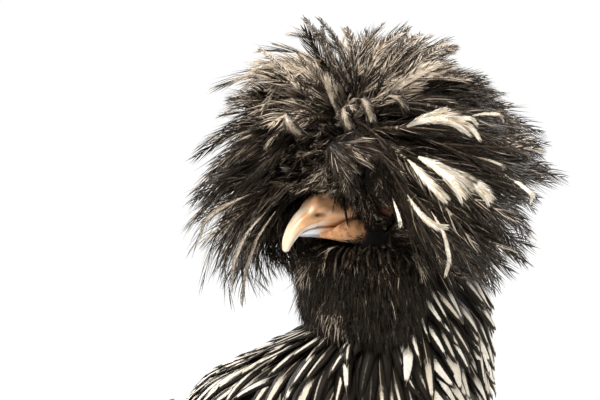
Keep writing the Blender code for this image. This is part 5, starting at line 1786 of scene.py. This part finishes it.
def build_bristles(skin, material):
    """The small plumes and bristles round the bill, in one piece."""
    draw = np.random.default_rng(SEED + 9)
    rows = bristle_rows(draw)
    path = head_curves(*[[row[k] for row in rows] for k in range(3)], 7)
    outs = np.broadcast_to(head_ways((0.4, 0.6, 0.5)), path.shape)
    half = np.array([row[3] for row in rows])[:, None] * np.linspace(1.0, 0.6, 6)
    _, _, uv = skin.nearest(path[:, 0])
    coat = Coat()
    tone, pale = draw.uniform(0, 0.6, len(rows)), np.zeros(len(rows))
    add_strips(coat, Feathers(path, outs, half, tone, pale, uv), thick=0.0002, across_value=0.5,
               along_value=np.linspace(0, 1, 7))
    add_brow_plumes(coat, skin, draw)
    add_gape_plumes(coat, skin, draw)
    add_cheek_plumes(coat, skin, draw)
    finish_coat(coat, "bill_bristles", material, len(rows))


def toe_way(side, turn):
    angle = math.radians(turn)
    return np.array((math.sin(angle) * side, -math.cos(angle), 0.0))


def build_leg(side, scales, horn):
    """One scaly leg in one skin, its scutes and its claws."""
    label = side_label(side)
    names = [f"shank_{label}", f"foot_{label}"] + [f"toe_{label}_{row[0]}" for row in TOES]
    shape = bmesh.new()
    for name in names:
        shape.from_mesh(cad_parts[name].data)
    leg = remeshed(f"leg_{label}", shape, LEG_VOXEL)
    points = read_points(leg.data)
    points[:, 2] = np.maximum(points[:, 2], 0.0)
    write_points(leg.data, points)
    leg.data.materials.append(scales)
    unwrap(leg)
    finish_piece(leg, names)
    surface = Surface(leg)
    build_scutes(side, surface, scales)
    for name, turn, length, _, _, claw_length in TOES:
        way = toe_way(side, turn)
        start = ANKLE * (side, 1, 0) + (0, -0.003, 0) + way * (TOE_START + length) + SHIFT
        rows = smooth_rows(CLAW_ROWS, 18)
        centres = start + way * (claw_length * rows[:, :1]) + Z * rows[:, 2:]
        centres[:, 2] = np.maximum(centres[:, 2], rows[:, 1] * 1.02)
        piece = tube_piece(f"claw_horn_{label}_{name}", centres, Z, rows[:, 1] * 0.85, rows[:, 1], 16,
                           horn, 0.0004)
        finish_piece(piece, (f"claw_{label}_{name}",))


def scute_rows(side):
    """Places near the skin, ways and half widths of the scutes of shank and toes."""
    lines = []
    for turn, width in SCUTE_ROWS:
        angle = math.radians(turn)
        out = np.array((math.sin(angle) * side, -math.cos(angle), 0.25))
        t = np.linspace(0.10, 0.93, SHANK_SCUTES)[:, None]
        places = HOCK * (side, 1, 1) * (1 - t) + ANKLE * (side, 1, 1) * t + SHIFT + out * 0.012
        ways = np.broadcast_to(unit(ANKLE - HOCK), places.shape)
        lines.append((places, ways, np.full(SHANK_SCUTES, width)))
    for _, turn, length, root, tip, _ in TOES:
        way = toe_way(side, turn)
        number = int(length / TOE_SCUTE)
        t = np.linspace(0.06, 0.98, number)[:, None]
        places = ANKLE * (side, 1, 0) + (0, -0.003, 0) + way * (TOE_START + length * t) + SHIFT + Z * 0.014
        lines.append((places, np.broadcast_to(way, places.shape), np.linspace(root, tip, number) * 0.95))
    return [np.concatenate([line[k] for line in lines]) for k in range(3)]


def build_scutes(side, surface, material):
    """Overlapping scutes down the front of the shank and along the top of each toe."""
    draw = np.random.default_rng(SEED + 10)
    places, ways, widths = scute_rows(side)
    points, normals, uv = surface.nearest(places)
    ways = unit(ways - normals * (ways * normals).sum(1, keepdims=True))
    start = points - ways * 0.0008
    steps, total = 5, len(points)
    t = np.linspace(0, 1, steps + 1)
    lift = np.broadcast_to(-0.0002 + 0.0008 * t ** 0.6, (total, steps + 1))
    path, outs = surface.march(start, normals, lambda p, n: ways, np.full(total, 0.0042), steps, lift)
    profile = np.interp(t[:-1], (0, 0.3, 0.7, 0.9, 1.0), (0.80, 1.0, 1.0, 0.72, 0.0))
    coat = Coat()
    scutes = Feathers(path, outs, widths[:, None] * profile, draw.uniform(0, 1, total), 0.5, uv)
    add_vanes(coat, scutes, draw, cup=0.55, thick=0.0005, fray=0.02)
    finish_coat(coat, f"scutes_{side_label(side)}", material, total)


def camera_axes():
    a, e = VIEW_AZIMUTH, VIEW_ELEVATION
    back = np.array((math.sin(a) * math.cos(e), -math.cos(a) * math.cos(e), math.sin(e)))
    right = np.array((math.cos(a), math.sin(a), 0.0))
    return back, right, np.cross(back, right)


def camera_place():
    """Where the camera stands, so that the skull's centre shows at its pixel."""
    back, right, up = camera_axes()
    off_x = (PHOTO_SIZE[0] / 2 - SKULL_PIXEL[0]) / PIXELS_PER_METRE
    off_y = (SKULL_PIXEL[1] - PHOTO_SIZE[1] / 2) / PIXELS_PER_METRE
    aim = SKULL + SHIFT + right * off_x + up * off_y
    return aim + back * VIEW_DISTANCE


def build_camera():
    back, right, up = camera_axes()
    data = bpy.data.cameras.new("photo_camera")
    data.lens, data.sensor_width = LENS, SENSOR
    data.clip_start, data.clip_end = 0.02, 20.0
    camera = bpy.data.objects.new("photo_camera", data)
    bpy.context.scene.collection.objects.link(camera)
    camera.matrix_world = Matrix.Translation(Vector(camera_place())) @ Matrix(
        [list(row) for row in np.stack((right, up, back), 1)]).to_4x4()
    bpy.context.scene.camera = camera


def area_light(name, place, aim, size, power):
    data = bpy.data.lights.new(name, "AREA")
    data.size, data.energy = size, power
    lamp = bpy.data.objects.new(name, data)
    bpy.context.scene.collection.objects.link(lamp)
    lamp.location = place
    lamp.rotation_euler = (Vector(aim) - Vector(place)).to_track_quat("-Z", "Y").to_euler()


def build_surround():
    """A surround that shows white and lights the scene softly."""
    world = bpy.data.worlds.new("white_surround")
    world.use_nodes = True
    tree = world.node_tree
    soft = tree.nodes["Background"]
    soft.inputs["Color"].default_value = (1.0, 1.0, 1.0, 1.0)
    soft.inputs["Strength"].default_value = SURROUND_LIGHT
    seen = tree.nodes.new("ShaderNodeBackground")
    seen.inputs["Color"].default_value = (1.0, 1.0, 1.0, 1.0)
    seen.inputs["Strength"].default_value = SURROUND_SEEN
    chosen, path = tree.nodes.new("ShaderNodeMixShader"), tree.nodes.new("ShaderNodeLightPath")
    tree.links.new(path.outputs["Is Camera Ray"], chosen.inputs[0])
    tree.links.new(soft.outputs[0], chosen.inputs[1])
    tree.links.new(seen.outputs[0], chosen.inputs[2])
    tree.links.new(chosen.outputs[0], tree.nodes["World Output"].inputs[0])
    bpy.context.scene.world = world


def build_studio():
    """Surround, soft lamps round the camera and a pale floor."""
    build_surround()
    back, right, _ = camera_axes()
    head = SKULL + SHIFT
    bpy.context.scene.view_settings.view_transform = "Standard"
    for name, away, across, rise, size, power in LAMPS:
        place = head + back * away + right * across + Z * rise
        area_light(name, place, head, size, power)
    mesh = bpy.data.meshes.new("floor")
    shape = bmesh.new()
    bmesh.ops.create_circle(shape, cap_ends=True, radius=1.0, segments=96)
    shape.to_mesh(mesh)
    shape.free()
    floor = new_object("floor", mesh, floor_material())


def main():
    build_camera()
    build_studio()
    plumes, laced = plume_material(), laced_material()
    skin_piece = build_skin(skin_material())
    skin = Surface(skin_piece)
    finish_piece(skin_piece, FLESH)
    made = build_body_coat(skin, laced)
    face_trees = [node_tree(name) for name in ("head", "beak_upper", "beak_lower")]
    made += build_crest(skin, plumes, face_trees + [node_tree("neck")])
    made += [build_white_and_highlit_plumes(skin, plumes), build_beard(skin, plumes, face_trees)]
    made += [build_wing(side, skin, laced) for side in (LEFT, RIGHT)]
    made += [build_tail(skin, laced), build_thigh_coat(skin, laced), build_face_coat(skin, plumes)]
    build_bill(horn_material())
    face = face_material()
    build_gape(face)
    build_eyes(eye_material(), face)
    build_ears(lobe_material())
    build_comb(face)
    build_bristles(skin, plumes)
    scales, claws = scale_material(), claw_material()
    for side in (LEFT, RIGHT):
        build_leg(side, scales, claws)
    for row in made:
        print("coat", *row)


main()
